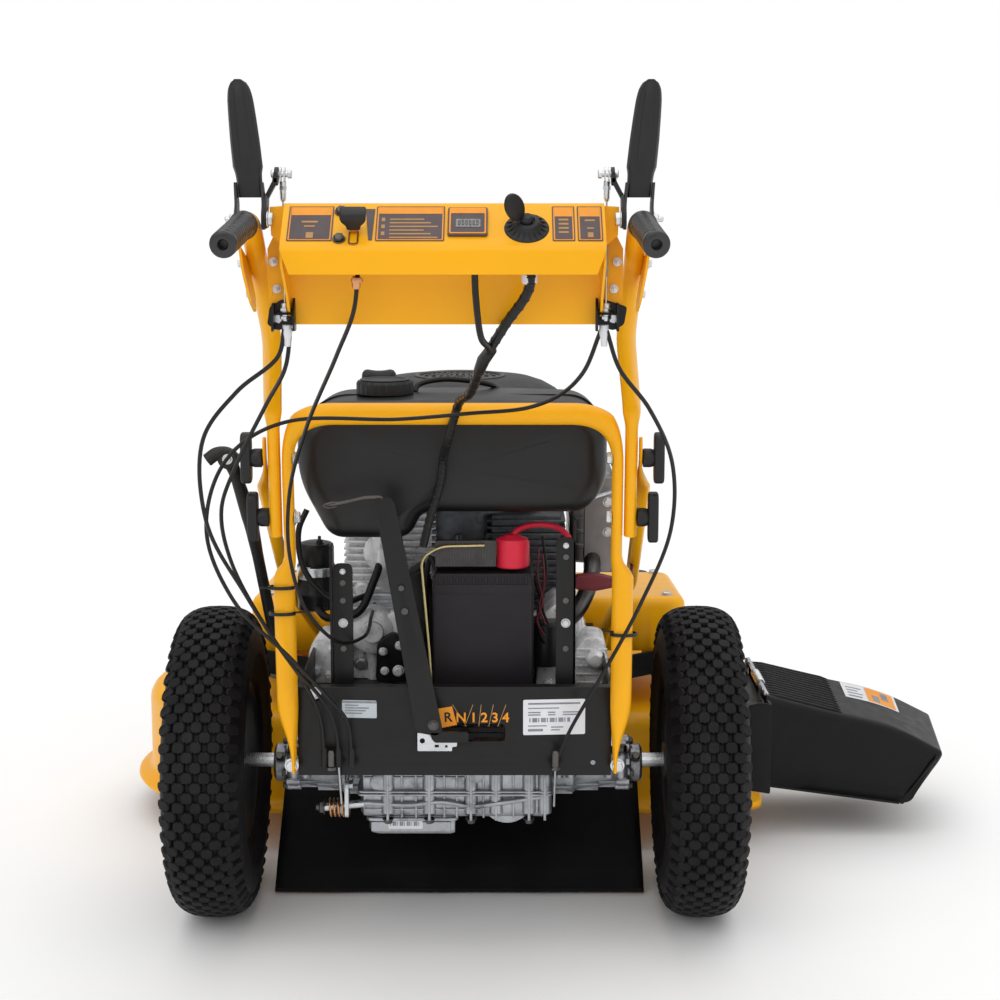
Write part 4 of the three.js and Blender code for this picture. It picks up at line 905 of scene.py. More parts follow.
def ignition():
    centre = on_console(81, 0.42)
    dish = Shape()
    dish.lathe([(0, 0.2), (22, 0.2), (22.6, 1.5), (21.5, 3.4), (16, 5.4), (13.5, 8.4), (11.8, 11.4),
                (8.2, 12.6), (7.6, 10.8), (0, 10.8)],
               centre, OFF_SLOPE, 56)
    for a, b in around(18):
        out = Vector((1, 0, 0)) * a + UP_SLOPE * b
        dish.rod(0.8, centre + out * 14 + OFF_SLOPE * 7.6, centre + out * 20.5 + OFF_SLOPE * 3.4, 8)
    make("ignition_dish", dish, "plastic", body="upper_handle")
    key = Shape()
    key.lathe([(0, 11), (6.4, 11), (6.4, 15.5), (4.6, 18), (0, 18)], centre, OFF_SLOPE, 28)
    lean = (OFF_SLOPE + Vector((-0.42, 0, 0))).normalized()
    across = Vector((1, 0, 0)) - lean * lean.x
    across = (across * 0.75 + UP_SLOPE * 0.65).normalized()
    across = (across - lean * across.dot(lean)).normalized()
    outline = [(a * 10.5, 31 + b * 15.5) for a, b in around(32)]
    normal = across.cross(lean)
    key.slab(outline, 5.2, (centre - normal * 2.6, across, lean), bevel=1.6)
    make("ignition_key_bow", key, "plastic", 0.4, body="ignition_key", replaces="ignition_key")


console()
console_fittings()
throttle()
ignition()

# ---- hand levers, their clevises and wires ----
ARM_Y, ARM_Z = 30, 44
WIRE_FOOT = Vector((0, -497, 828))


def lever_width(z):
    table = [(16, 12.0), (28, 12.6), (36, 12.8), (44, 13.2), (51, 15.0), (76, 14.8), (102, 13.8),
             (119, 12.8), (128.5, 10.8), (133.5, 7.8), (136.4, 3.4)]
    for (za, wa), (zb, wb) in zip(table, table[1:]):
        if z <= zb:
            return between(wa, wb, (z - za) / (zb - za))
    return table[-1][1]


def hand_lever(lever, side):
    """A pressed channel with a raised band down its middle, above two ears that straddle the tube."""
    x0, y0, z0 = side * PIVOT.x, PIVOT.y, PIVOT.z
    heights = [21, 25, 30, 36, 41, 45, 48, 51, 58, 68, 78, 88, 98, 108, 116, 122, 127, 130.5, 133.5, 135.5,
               136.6]
    columns = [-1.0, -0.97, -0.9, -0.8, -0.6, -0.44, -0.34, -0.15, 0.15, 0.34, 0.44, 0.6, 0.8, 0.9, 0.97,
               1.0]
    rings = []
    for z in heights:
        half = lever_width(z)
        middle = 18.5 + max(0, z - 22) * 0.09
        band = limited((z - 45) / 12) * limited((134 - z) / 10)
        outer, inner = [], []
        for u in columns:
            lip = 7.5 * max(0.0, (abs(u) - 0.8) / 0.2) ** 1.6
            raised = 2.0 * band * max(0.0, 1 - (max(0.0, abs(u) - 0.3) / 0.16))
            y = middle + lip - raised
            outer.append((x0 + u * half, y0 + y, z0 + z))
            inner.append((x0 + u * (half - 1.6), y0 + y + 2.2, z0 + z - (0.8 if z > 128 else 0)))
        rings.append(outer + inner[::-1])
    blade = Shape().skin(rings)
    for end in (-1, 1):
        clear = 12.2 if end == -side else 11.8
        a0, a1 = (x0 + a for a in pair(end, clear, clear + 2.6))
        ear = rounded([(-9, -9), (7, -11), (15, -2), (23, 20), (22, 36), (15, 36), (2, 14), (-8, 8)],
                      [6, 6, 6, 5, 2, 2, 8, 6], 4)
        blade.slab_x([(y0 + a, z0 + b) for a, b in ear], a0, a1)
    for point in blade.points:
        point.x += side * max(0.0, point.z - z0 - 10) * 0.105
    inner = -side

    def plate(a, b, outline, holes=()):
        blade.slab_x([(y0 + u, z0 + v) for u, v in outline], *sorted((x0 + inner * a, x0 + inner * b)),
                     [circle(y0 + u, z0 + v, r) for u, v, r in holes])
    plate(13.9, 16.6, rounded([(-8, -9), (8, -9), (27, 17), (26, 26), (9, 23), (-8, 4)], [6, 6, 4, 3, 6, 6],
                              4))
    reach = [(13.6, 14), (13.6, 23), (21, 37), (22.6, 46), (26, 46), (25.6, 36)]
    blade.slab_y([(x0 + inner * a, z0 + b) for a, b in reach], y0 + 15, y0 + 25)
    plate(22.6, 26, rounded([(15, 32), (28, 34), (38, 42), (33, 51), (24, 51), (15, 44)], 4, 4),
          [(ARM_Y, ARM_Z, 3.2)])
    make(f"{lever}_channel", blade, "plastic", 0.5, body=lever, angle=40, replaces=lever)
    pins = Shape()
    pins.rod(3, (x0 + inner * 20, y0 + ARM_Y, z0 + ARM_Z), (x0 + inner * 38, y0 + ARM_Y, z0 + ARM_Z))
    pins.bolt((x0 + inner * 22.4, y0 + ARM_Y, z0 + ARM_Z), (-inner, 0, 0), 8, 4, washer=False)
    pins.bolt((x0 + inner * 35, y0 + ARM_Y, z0 + ARM_Z), (inner, 0, 0), 8, 4, washer=False)
    make(f"{lever}_pin", pins, "zinc", 0.2, body=lever)
    pivot = Shape()
    pivot.bolt((x0 + inner * 17.2, y0, z0), (inner, 0, 0), 12, 5)
    pivot.bolt((x0 - inner * 14.2, y0, z0), (-inner, 0, 0), 10, 4, nut=True)
    make(f"{lever}_pivot_bolt", pivot, "zinc", 0.25, body="upper_handle")


def cable_link(name, side):
    inner = -side
    body = f"cable_link_{name}"
    pin = Vector((side * PIVOT.x + inner * 30, PIVOT.y + ARM_Y, PIVOT.z + ARM_Z))
    foot = Vector((pin.x, WIRE_FOOT.y, WIRE_FOOT.z))
    down = (foot - pin).normalized()
    clevis = Shape()
    for x in (-1.9, 1.9):
        outline = rounded([(-5, -6.5), (5, -6.5), (5, 4), (3, 8), (-3, 8), (-5, 4)], [4, 4, 2, 1, 1, 2], 3)
        clevis.slab_x([(pin.y + a, pin.z - b) for a, b in outline], pin.x + x - 0.8, pin.x + x + 0.8,
                      [circle(pin.y, pin.z, 3.35)])
    clevis.lathe([(0, 7), (3.2, 7), (3.4, 9), (3.2, 24), (2.3, 27), (0, 27)], pin, down, 18)
    clevis.lathe([(0, 12), (3.9, 12), (3.9, 15.5), (0, 15.5)], pin, down, 6)
    make(f"cable_clevis_{name}", clevis, "zinc", 0.2, body=body, replaces=body)
    wire = Shape().rod(1.0, pin + down * 24, foot, 10)
    make(f"cable_wire_{name}", wire, "steel", body=body)
    sleeve = Shape().lathe([(1.2, 46), (2.0, 46.5), (2.0, 101), (1.2, 101.5), (1.2, 46)], pin, down, 14)
    make(f"cable_sleeve_{name}", sleeve, "pale_sleeve", body=body)


def cable_bracket(name, side):
    """Where the cables' jackets are held below the console."""
    x = side * 161.5
    bracket = Shape()
    plate = rounded([(x - 3, 838), (x + side * 19 + 3, 830), (x + side * 19, 812), (x + side * 8, 806),
                     (x - side * 9, 812), (x - side * 9, 832)], 3, 3)
    bracket.slab_y(plate, -491.6, -489.6)
    bracket.slab_z(rectangle(x - 9, x + 9, -505, -484, 3), 822.6, 825, bevel=0.3)
    bracket.slab_x(rounded([(-504, 806), (-486, 806), (-486, 838), (-494, 840), (-504, 826)], 3, 3),
                   x - side * 9 - 1.2, x - side * 9 + 1.2)
    bracket.slab_x(rounded([(-508, 806), (-486, 806), (-486, 834), (-500, 834)], 3, 3), x + side * 12 - 1.2,
                   x + side * 12 + 1.2)
    make(f"cable_bracket_{name}", bracket, "black_paint", 0.4, body="upper_handle")
    ferrules = Shape()
    ferrules.lathe([(0, 0), (3.4, 0), (4.4, 2), (4.4, 15), (3, 18), (0, 18)], (x, -496, 834), (0, 0, -1),
                   16)
    ferrules.bolt((x, -496, 826), (0, 0, 1), 10, 3.4, washer=False)
    ferrules.bolt((x, -496, 821), (0, 0, -1), 10, 3.4, washer=False)
    ferrules.bolt((x + side * 8, -487, 818), (0, -1, 0), 9, 4)
    make(f"cable_ferrules_{name}", ferrules, "zinc", 0.2, body="upper_handle")
    boots = Shape()
    boots.lathe([(0, 0), (4.8, 0), (4.8, 9), (3.6, 15), (3.2, 22), (0, 22)], (x - 1.5 * side, -493, 812),
                (0.02 * side, 0.1, -1), 16)
    make(f"cable_boot_{name}", boots, "white", body="upper_handle")


for NAME, SIDE in SIDES.items():
    hand_lever("drive_lever" if NAME == "left" else "blade_lever", SIDE)
    cable_link(NAME, SIDE)
    cable_bracket(NAME, SIDE)

# ---- control cables and wiring, which run between the chassis and the upper handle ----
CABLES = {
    "drive_cable_left": [
        (-163, -494, 808), (-170, -490, 780), (-215, -474, 742), (-254, -455, 690), (-258, -425, 600),
                         (-228, -345, 500),
        (-188, -262, 400), (-152, -214, 335), (-142, -204, 300), (-140, -200, 262)],
    "brake_cable_left": [
        (-157, -491, 808), (-163, -484, 770), (-190, -438, 724), (-228, -395, 655), (-250, -365, 600),
                         (-246, -328, 535),
        (-212, -272, 440), (-174, -222, 360), (-161, -204, 318), (-157, -199, 262)],
    "blade_cable_cross": [
        (157, -491, 806), (140, -465, 760), (90, -350, 712), (20, -296, 698), (-60, -284, 690),
                          (-180, -300, 690),
        (-232, -345, 668), (-256, -380, 630), (-262, -394, 575), (-238, -372, 500), (-186, -292, 415),
                          (-148, -236, 352),
        (-128, -205, 312), (-124, -200, 262)],
    "blade_cable_right": [
        (163, -494, 806), (176, -486, 768), (210, -456, 722), (240, -400, 655), (243, -355, 575),
                          (215, -300, 480),
        (172, -232, 372), (140, -205, 305), (122, -201, 262)],
    "throttle_cable": [
        (-85, -533, 866), (-90, -520, 830), (-112, -470, 780), (-158, -350, 686), (-186, -272, 600),
                       (-188, -262, 530),
        (-172, -246, 462), (-140, -200, 412), (-114, -130, 400), (-112, 0, 398), (-112, 58, 400)],
}
HARNESS = [(84, -545, 880), (84, -535, 852), (60, -500, 812), (38, -455, 772), (24, -380, 732),
           (8, -276, 706), (-6, -225, 655), (-12, -185, 632), (-16, -170, 600), (-28, -166, 560),
           (-38, -160, 520)]
HARNESS_BRANCH = [(30, -540, 872), (31, -528, 842), (36, -505, 800), (44, -478, 786), (41, -458, 774)]


def cross_joint(piece):
    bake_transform(piece)


def cables():
    for name, points in CABLES.items():
        jacket = Shape().wire(points, 12, 2.25, 12)
        cross_joint(make(f"{name}_jacket", jacket, "jacket", body=None, angle=60, replaces=name))
    harness = Shape().wire(HARNESS, 14, 5, 16)
    path = smooth_route(HARNESS, 40)
    for i in range(6, len(path) - 6, 9):
        along = (path[i + 1] - path[i]).normalized()
        harness.lathe([(5.0, -1.2), (5.5, -0.6), (5.5, 0.6), (5.0, 1.2), (4.8, 0), (5.0, -1.2)], path[i],
                      along, 16)
    cross_joint(make("wiring_harness_sleeve", harness, "jacket", body=None, angle=60,
                     replaces="wiring_harness"))
    branch = Shape().wire(HARNESS_BRANCH, 10, 3.4, 14)
    joint = Vector((38, -456, 773))
    branch.sweep([joint + Vector((8, -14, 12)), joint, joint + Vector((-5, 24, -14))], [6.2, 6.8, 6.0], 14)
    make("wiring_branch", branch, "jacket", body="upper_handle", angle=60)
    collar = Shape().lathe([(5.2, 0), (8, 0), (8, 9), (6.6, 11), (5.2, 11), (5.2, 0)], (84, -534, 857),
                           (0, -0.3, 0.95), 28)
    make("harness_collar", collar, "white", 0.3, body="upper_handle")
    fitting = Shape()
    fitting.bolt((-86, -533, 861), (0, -0.1, -1), 11, 5, washer=False)
    fitting.lathe([(2.7, 4), (4.4, 4), (4.4, 14), (3.6, 16), (2.7, 16), (2.7, 4)], (-86, -532, 866),
                  (-0.08, 0.25, -1), 20)
    make("throttle_fitting", fitting, "brass", 0.2, body="upper_handle")


def zip_tie(name, centre, along, radius, tail):
    centre, along = Vector(centre), Vector(along).normalized()
    tie = Shape().lathe([(radius - 0.6, -2), (radius + 0.8, -2), (radius + 0.8, 2), (radius - 0.6, 2),
                         (radius - 0.6, -2)], centre, along, 30)
    side = along.orthogonal().normalized()
    tie.wire([centre + side * radius, centre + Vector(tail) * 0.5, centre + Vector(tail)], 6, 1.3, 6)
    make(name, tie, "plastic", angle=50)


cables()
zip_tie("zip_tie_left_upper", (-203, -218, 482), (0, 0.1, 1), 15.0, (-24, -14, 2))
zip_tie("zip_tie_left_lower", (-203, -215, 450), (0, 0.1, 1), 15.0, (30, -10, 4))
zip_tie("zip_tie_right", (202, -212, 424), (0, 0.1, 1), 15.6, (-26, -12, 8))

# ---- fuel tank, cap, uprights and battery ----
def pillow(shape, outline, y0, y1, r, steps=6):
    """An outline in X and Z with its front and back edges rounded."""
    normals = outward(outline)
    rings = []
    for end, direction in ((y0, 1), (y1, -1)):
        part = []
        for step in range(steps + 1):
            angle = math.pi / 2 * step / steps
            inset, depth = r * (1 - math.sin(angle)), r * (1 - math.cos(angle))
            part.append([(x - n.x * inset, end + direction * depth, z - n.y * inset)
                         for (x, z), n in zip(outline, normals)])
        rings.extend(part if direction == 1 else part[::-1])
    return shape.skin(rings)


def fuel_tank():
    outline = rounded([(-191, 598), (-152, 525), (-56, 525), (-40, 557), (160, 557), (185, 592), (185, 660),
                       (158, 690), (-155, 690), (-191, 660)],
                      [30, 18, 16, 12, 40, 26, 34, 30, 34, 34], 8)
    dense = []
    for i in range(len(outline)):
        a, b = Vector(outline[i]), Vector(outline[(i + 1) % len(outline)])
        steps = max(1, round((b - a).length / 8))
        dense.extend(tuple(a.lerp(b, step / steps)) for step in range(steps))
    tank = pillow(Shape(), dense, -150, 35, 26, 9)
    tank.faces = [face for face in tank.faces if len(face) < 5]
    count = len(dense)
    for ring, direction in ((tank.points[:count], 1), (tank.points[-count:], -1)):
        middle = 614
        rings = [[(point.x * share if share else 0, point.y + direction * -2.5 * (1 - share ** 2),
                   between(middle, point.z, share))
                  for point in ring] for share in (1, 0.9, 0.75, 0.6, 0.45, 0.3, 0.15, 0.02)]
        tank.skin(rings if direction == -1 else rings[::-1], caps=False)
        tank.mesh(rings[-1], [list(range(count))[::direction]])
    for point in tank.points:
        if point.z > 640:
            point.z += 4.5 * (1 - ((point.x + 3) / 190) ** 2) * min(1.0, (point.z - 640) / 40)
    make("fuel_tank_moulding", tank, "tank", angle=45, replaces="fuel_tank")
    seam = Shape()
    grown = [(x * 1.004, 608 + (z - 608) * 1.006 + (3.6 if z > 660 else 0)) for x, z in outline]
    inner = [(x * 0.99, 608 + (z - 608) * 0.97) for x, z in outline]
    seam.slab_y(grown, -62, -59, [inner[::-1]])
    make("fuel_tank_seam", seam, "tank", 0.4)
    neck = Shape().lathe([(18, 688), (29, 688), (30, 690), (30, 693.2), (18, 693.2), (18, 688)],
                         (-88, -60, 0), steps=36)
    make("fuel_neck", neck, "plastic", 0.2)
    cap = Shape()
    rings = []
    for h, r in ((693.6, 33.5), (695, 35.6), (708, 35.6), (711.2, 33.5)):
        ribbed = [r - (1.1 if i % 4 in (0, 1) else 0) for i in range(96)]
        rings.append([(-88 + a * grip_r, -60 + b * grip_r, h)
                      for (a, b), grip_r in zip(around(96), ribbed)])
    cap.skin(rings)
    cap.lathe([(0, 711), (30, 711), (31, 712), (31, 712.8), (26, 713.2), (24, 711.8), (0, 711.8)],
              (-88, -60, 0), steps=48)
    make("fuel_cap_ribbed", cap, "plastic", 0.25, body="fuel_cap", replaces="fuel_cap")


def upright(name, x, top, flange_x):
    plate = Shape()
    outline = rounded([(x - 10, 303), (x + 14, 303), (x + 14, top - 22), (x - 10, top - 22)], [1, 1, 9, 9],
                      4)
    plate.slab_y(outline, -155, -152, bevel=0.4)
    plate.slab_x(rounded([(-155, 303), (-128, 303), (-128, top), (-155, top)], [0, 0, 8, 2], 4), flange_x,
                 flange_x + 3, bevel=0.4)
    plate.slab_z(rectangle(x - 14, x + 14, -155, -128, 2), 300.6, 303.4, bevel=0.4)
    make(f"tank_upright_{name}_plate", plate, "black_paint", 0.3, replaces=f"tank_upright_{name}")
    bolts = Shape()
    face = lambda z, size, height: bolts.bolt((x + 2, -155, z), (0, -1, 0), size, height)
    face(424, 8, 3.4)
    bolts.bolt((x, -142, 303.4), (0, 0, 1), 12, 6)
    face(340, 8, 3.4)
    face(top - 32, 5, 2)
    plugs = Shape()
    for z in (top - 46, 392, 452):
        plugs.lathe([(0, 0), (4.2, 0), (3.6, 1.2), (0, 1.2)], (x + 2, -155, z), (0, -1, 0), 20)
    make(f"tank_upright_{name}_plugs", plugs, "dark_steel")
    make(f"tank_upright_{name}_bolts", bolts, "zinc", 0.25)


def battery():
    case = Shape()
    case.skin([[(u, v, z) for u, v in rectangle(-28 + inset, 97 - inset, -148 + inset, 30 - inset, 5)]
               for z, inset in ((301, 2), (304, 1), (458, 0.6), (459, 0), (470, 0), (471, 1.2), (478, 1.2),
                                (483, 4))])
    for x in range(-20, 92, 7):
        case.block(x, x + 3.2, -149.2, -146, 471, 481)
    case.slab_z(rectangle(-22, 52, -110, -20, 6), 482, 488, bevel=1)
    for x in (-8, 16, 40):
        case.lathe([(0, 487), (9, 487), (9, 490), (7, 491), (0, 491)], (x, -64, 0), steps=20)
    make("battery_case", case, "battery", 0.6, replaces="battery")
    strap = Shape()
    strap.block(-24, 50, -140, -132, 491, 523)
    for i in range(19):
        x = -22 + i * 3.9
        strap.block(x, x + 1.5, -141.6, -139, 492, 522)
    make("battery_vent_cover", strap, "clear", 0.4)
    boot = Shape()
    boot.lathe([(0, 488), (20, 488), (21.4, 490), (21.4, 518), (19, 523), (12, 525), (8, 528), (0, 528)],
               (70, -122, 0), steps=40)
    boot.wire([(70, -122, 520), (74, -118, 530), (96, -108, 537), (126, -104, 533), (140, -102, 520),
               (143, -100, 505)], 8, 3.6)
    make("battery_boot", boot, "red", 0.5)
    wires = Shape()
    wires.wire([(-24, -132, 486), (-30, -128, 500), (-36, -110, 470), (-37, -80, 420), (-40, -60, 380)], 8,
               3.2, 10)
    wires.wire([(98, -100, 470), (106, -96, 440), (102, -96, 410), (112, -90, 382), (128, -70, 372)], 8,
               2.4, 10)
    wires.wire([(108, -90, 520), (113, -92, 470), (108, -90, 430), (118, -84, 400)], 8, 1.8, 8)
    make("battery_wires", wires, "jacket", angle=60)
    warm = Shape()
    warm.wire([(103, -104, 508), (102, -103, 470), (108, -103, 440), (101, -102, 415), (110, -98, 395)], 8,
              1.3, 8)
    warm.wire([(108, -104, 500), (110, -103, 462), (104, -103, 432), (112, -102, 410)], 8, 1.3, 8)
    make("starter_wires", warm, "dark_red", angle=60)
    rod = Shape()
    rod.sweep(bent_path([(36, -144, 518), (-18, -145, 517), (-41, -148, 503), (-31, -150, 383),
                         (-28, -150, 330)], 12, 6), 1.6, 12)
    make("hold_down_rod", rod, "yellow_zinc", angle=60)
    plug = Shape()
    plug.slab_y(rounded([(150, 446), (176, 444), (206, 450), (206, 459), (176, 466), (150, 464)], 4), -66,
                -50, bevel=2)
    plug.wire([(203, -58, 455), (216, -50, 456), (224, -20, 462), (226, 30, 468)], 6, 2.6, 10)
    make("charge_connector", plug, "dark_red", 0.4)


UPRIGHTS = {"left": (-138, 520, -152), "right": (133, 552, 144)}
fuel_tank()
for NAME, (X, TOP, FLANGE) in UPRIGHTS.items():
    upright(NAME, X, TOP, FLANGE)
battery()

# ---- engine ----
# The crankcase and both cylinders start at the height of the sump's shoulder.
ENGINE_Y, SUMP_SHOULDER = 190, 384


def fins(shape, x0, x1, y0, y1, z0, z1, pitch, thick):
    z = z0
    while z + thick <= z1:
        shape.block(x0, x1, y0, y1, z, z + thick)
        z += pitch


def engine():
    # The engine's castings use the paler alloy, which paints light and highlights onto them.
    base = Shape()
    levels = ((300.8, 0), (312, 0), (313, 3), (344, 5), (345, 0), (351, 0), (352, 5), (384, 8), (388, 14))
    base.skin([[(u, v, z) for u, v in rectangle(-160 + i, 172 - i, 48 + i, 262 - i, 30)]
               for z, i in levels])
    for i in range(9):
        x = -130 + i * 34
        base.block(x, x + 3, 44.5, 54, 304, 342)
        base.lathe([(0, 300), (8, 300), (8, 350), (5, 354), (0, 354)], (x + 16, 50, 0), steps=16)
    for side_x in (-160, 172):
        for y in range(70, 250, 36):
            base.block(side_x - 4, side_x + 4, y, y + 3, 304, 342)
    make("engine_sump", base, "cast_painted_light", 0.7, replaces="engine_block")
    case = Shape()
    case.lathe([(0, SUMP_SHOULDER), (102, SUMP_SHOULDER), (104, 388), (104, 470), (108, 472), (108, 480),
                (104, 482), (104, 566), (100, 574), (0, 574)], (0, ENGINE_Y, 0), steps=64)
    for x, y in around(16, 107):
        case.rod(6, (x, ENGINE_Y + y, 462), (x, ENGINE_Y + y, 490), 12)
    make("engine_crankcase", case, "cast_dark", 0.6)
    left = Shape()
    left.block(-146, -36, 74, 176, SUMP_SHOULDER, 540)
    fins(left, -152, -30, 62, 178, 392, 540, 9, 2.6)
    for x, y, z in ((-128, 60, 505), (-70, 60, 505), (-128, 60, 420), (-70, 60, 420)):
        left.lathe([(0, 0), (11, 0), (11, 8), (8, 12), (0, 12)], (x, y, z), (0, -1, 0), 20)
    left.wire([(-100, 66, 530), (-100, 44, 520), (-98, 30, 490), (-98, 34, 452), (-92, 52, 430)], 8, 14, 20)
    left.lathe([(0, 0), (26, 0), (26, 6), (17, 8), (17, 24), (0, 24)], (-100, 64, 470), (0, -1, 0), 32)
    make("engine_cylinder_left", left, "cast_painted_light", 0.5)
    right = Shape()
    right.block(44, 136, 78, 146, SUMP_SHOULDER, 516)
    fins(right, 38, 142, 68, 152, 392, 518, 9, 2.6)
    make("engine_cylinder_right", right, "cast_dark", 0.5)
    bits = Shape()
    for x, y, z, size in ((-118, 44, 356, 13), (-60, 44, 330, 11), (-130, 44, 322, 13), (150, 50, 352, 13),
                          (128, 50, 330, 11), (-128, 60, 505, 9), (-70, 60, 505, 9), (-128, 60, 420, 9),
                          (-70, 60, 420, 9), (-84, 30, 500, 10)):
        bits.bolt((x, y if y > 48 else 45, z), (0, -1, 0), size, 6)
    make("engine_bolts", bits, "zinc", 0.3)
    pump = Shape()
    pump.lathe([(0, 0), (30, 0), (32, 3), (32, 20), (26, 25), (14, 27), (14, 34), (0, 34)], (-112, 44, 372),
               (0, -1, 0), 36)
    pump.slab_y(rounded([(-88, 300), (-48, 300), (-44, 372), (-60, 400), (-92, 398), (-100, 340)], 10), 20,
                46, bevel=2)
    pump.lathe([(0, 0), (11, 0), (11, 40), (0, 40)], (-150, 46, 340), (0.3, -0.2, 1), 20)
    make("engine_front_cover", pump, "cast_painted_light", 0.8)
    right_bits = Shape()
    right_bits.slab_y(rounded([(150, 304), (196, 304), (198, 330), (190, 372), (166, 376), (152, 350)], 9),
                      -20, 40, bevel=3)
    right_bits.lathe([(0, 0), (15, 0), (15, 30), (11, 34), (0, 34)], (176, 8, 300), (0, 0, 1), 24)
    right_bits.lathe([(0, 0), (12, 0), (12, 14), (8, 18), (0, 18)], (178, -20, 346), (0, -1, 0), 20)
    for i in range(5):
        right_bits.block(154, 194, -22, -19, 312 + i * 11, 315 + i * 11)
    make("engine_filter_head", right_bits, "cast_painted_light", 0.8)
    # Painted shade: these dark pieces are set low on the engine, in black, to paint the shade that lies on
    # the engine's low part.
    dark = Shape()
    dark.slab_y(rounded([(-60, 306), (-30, 306), (-26, 420), (-44, 470), (-70, 452), (-64, 380)], 8), -40,
                20, bevel=3)
    right_lug = Shape()
    right_lug.slab_y(rounded([(100, 306), (146, 306), (150, 380), (128, 430), (104, 410)], 10), -60, 40,
                     bevel=3)
    for px, pz, size in ((112, 392, 9), (132, 372, 11), (114, 350, 9), (136, 340, 8), (116, 322, 11)):
        right_lug.bolt((px, -60, pz), (0, -1, 0), size, 6)
    make("engine_right_lug", right_lug, "cast_painted_light", 0.6)
    dark.lathe([(0, 0), (27, 0), (27, 52), (23, 56), (0, 56)], (112, -66, 352), (0, 0, 1), 32)
    dark.slab_y(rounded([(-108, 306), (-66, 306), (-60, 350), (-84, 374), (-106, 360)], 8), 6, 30, bevel=2)
    foot = Shape()
    foot.slab_y(rounded([(-196, 304), (-150, 304), (-150, 370), (-178, 376), (-196, 348)], 8), 8, 44,
                bevel=3)
    for px, y, pz, size in ((-186, 8, 322, 11), (-164, 8, 350, 9), (-170, 8, 316, 8), (-98, 6, 348, 8),
                            (-76, 6, 356, 9), (-78, 6, 322, 11), (-96, 6, 322, 8)):
        foot.bolt((px, y, pz), (0, -1, 0), size, 6)
    make("engine_left_foot", foot, "cast_painted_light", 0.6)
    # The dark pieces low on the engine, black to paint the shade there.
    make("engine_accessories_painted_shade", dark, "black_paint", 0.8)


def blower():
    dome = Shape()
    profile = [(146, 0), (146, 70), (145, 80), (141, 89), (132, 97), (116, 106), (98, 112), (70, 114.5),
               (62, 114.5), (60, 112), (0, 112), (0, 108), (96, 108), (128, 92), (142, 78), (142, 0),
               (146, 0)]
    dome.lathe(profile, (0, ENGINE_Y, 577), steps=96)
    dome.rod(14, (-104, 116, 667), (-104, 87.7, 691.8), 24)
    make("blower_dome", dome, "plastic", 0.5, replaces="blower_housing")
    screen = Shape()
    for ring, count in ((12, 8), (22, 16), (32, 24), (42, 30), (52, 36)):
        for x, y in around(count, ring):
            screen.lathe([(1.2, 0), (3.2, 0), (3.2, 1.6), (2.4, 2.4), (1.2, 2.4), (1.2, 0)],
                         (x, ENGINE_Y + y, 689), steps=10)
    screen.lathe([(56, 0), (62, 0), (62, 4), (58, 5), (56, 3), (56, 0)], (0, ENGINE_Y, 689), steps=64)
    make("blower_screen", screen, "dark_steel")


def recoil_handle():
    out = Vector((0, -0.76, 0.65)).normalized()
    base = Vector((-104, 112, 671)) + out * 47
    handle = Shape()
    path = [base + Vector((x, 0, 0)) + out * (0.006 * x * x)
            for x in (-22, -20, -16, -10, -4, 4, 10, 16, 20, 22)]
    handle.sweep(path, [4, 7.4, 9, 8.6, 8.2, 8.2, 8.6, 9, 7.4, 4], 20)
    handle.sweep([base, base - out * 13.5], [7, 5.6], 18)
    make("recoil_grip", handle, "plastic", body="recoil_handle", segments=1, angle=50,
         replaces="recoil_handle")


def muffler():
    box = Shape()
    outline = rectangle(148, 206, 70, 236, 22, 8)
    box.skin([[(between(177, u, s), between(153, v, s), z) for u, v in outline]
              for z, s in ((452, 0.9), (456, 0.985), (460, 1), (512, 1), (513, 1.025), (516, 1.025),
                           (517, 1), (568, 1), (572, 0.985), (576, 0.9))])
    for z in (476, 496, 536, 556):
        box.skin([[(between(177, u, s), between(153, v, s), z + h) for u, v in outline]
                  for h, s in ((-4, 0.99), (-2, 1.018), (2, 1.018), (4, 0.99))])
    make("muffler_shell", box, "muffler", segments=1, angle=40, replaces="muffler")
    shield = Shape()
    shield.slab_y(rounded([(166, 446), (206, 446), (210, 452), (210, 566), (204, 572), (166, 572)], 3), 44,
                  46.5, bevel=0.4)
    shield.slab_x([(46, 448), (66, 448), (66, 570), (46, 570)], 166, 168.4)
    make("muffler_heat_shield", shield, "muffler", 0.3)
    pipe = Shape().wire([(176, 80, 470), (176, 30, 456), (168, 0, 430), (150, -6, 400), (120, 20, 380)], 8,
                        11, 24)
    make("exhaust_pipe", pipe, "dark_steel")
    studs = Shape()
    for z in (540, 500):
        studs.bolt((196, 44, z), (0, -1, 0), 9, 4)
    studs.sweep(bent_path([(60, -60, 547), (110, -70, 548), (150, -40, 552), (200, 30, 556)], 10, 5), 2.2,
                10)
    make("muffler_fittings", studs, "zinc", 0.2)


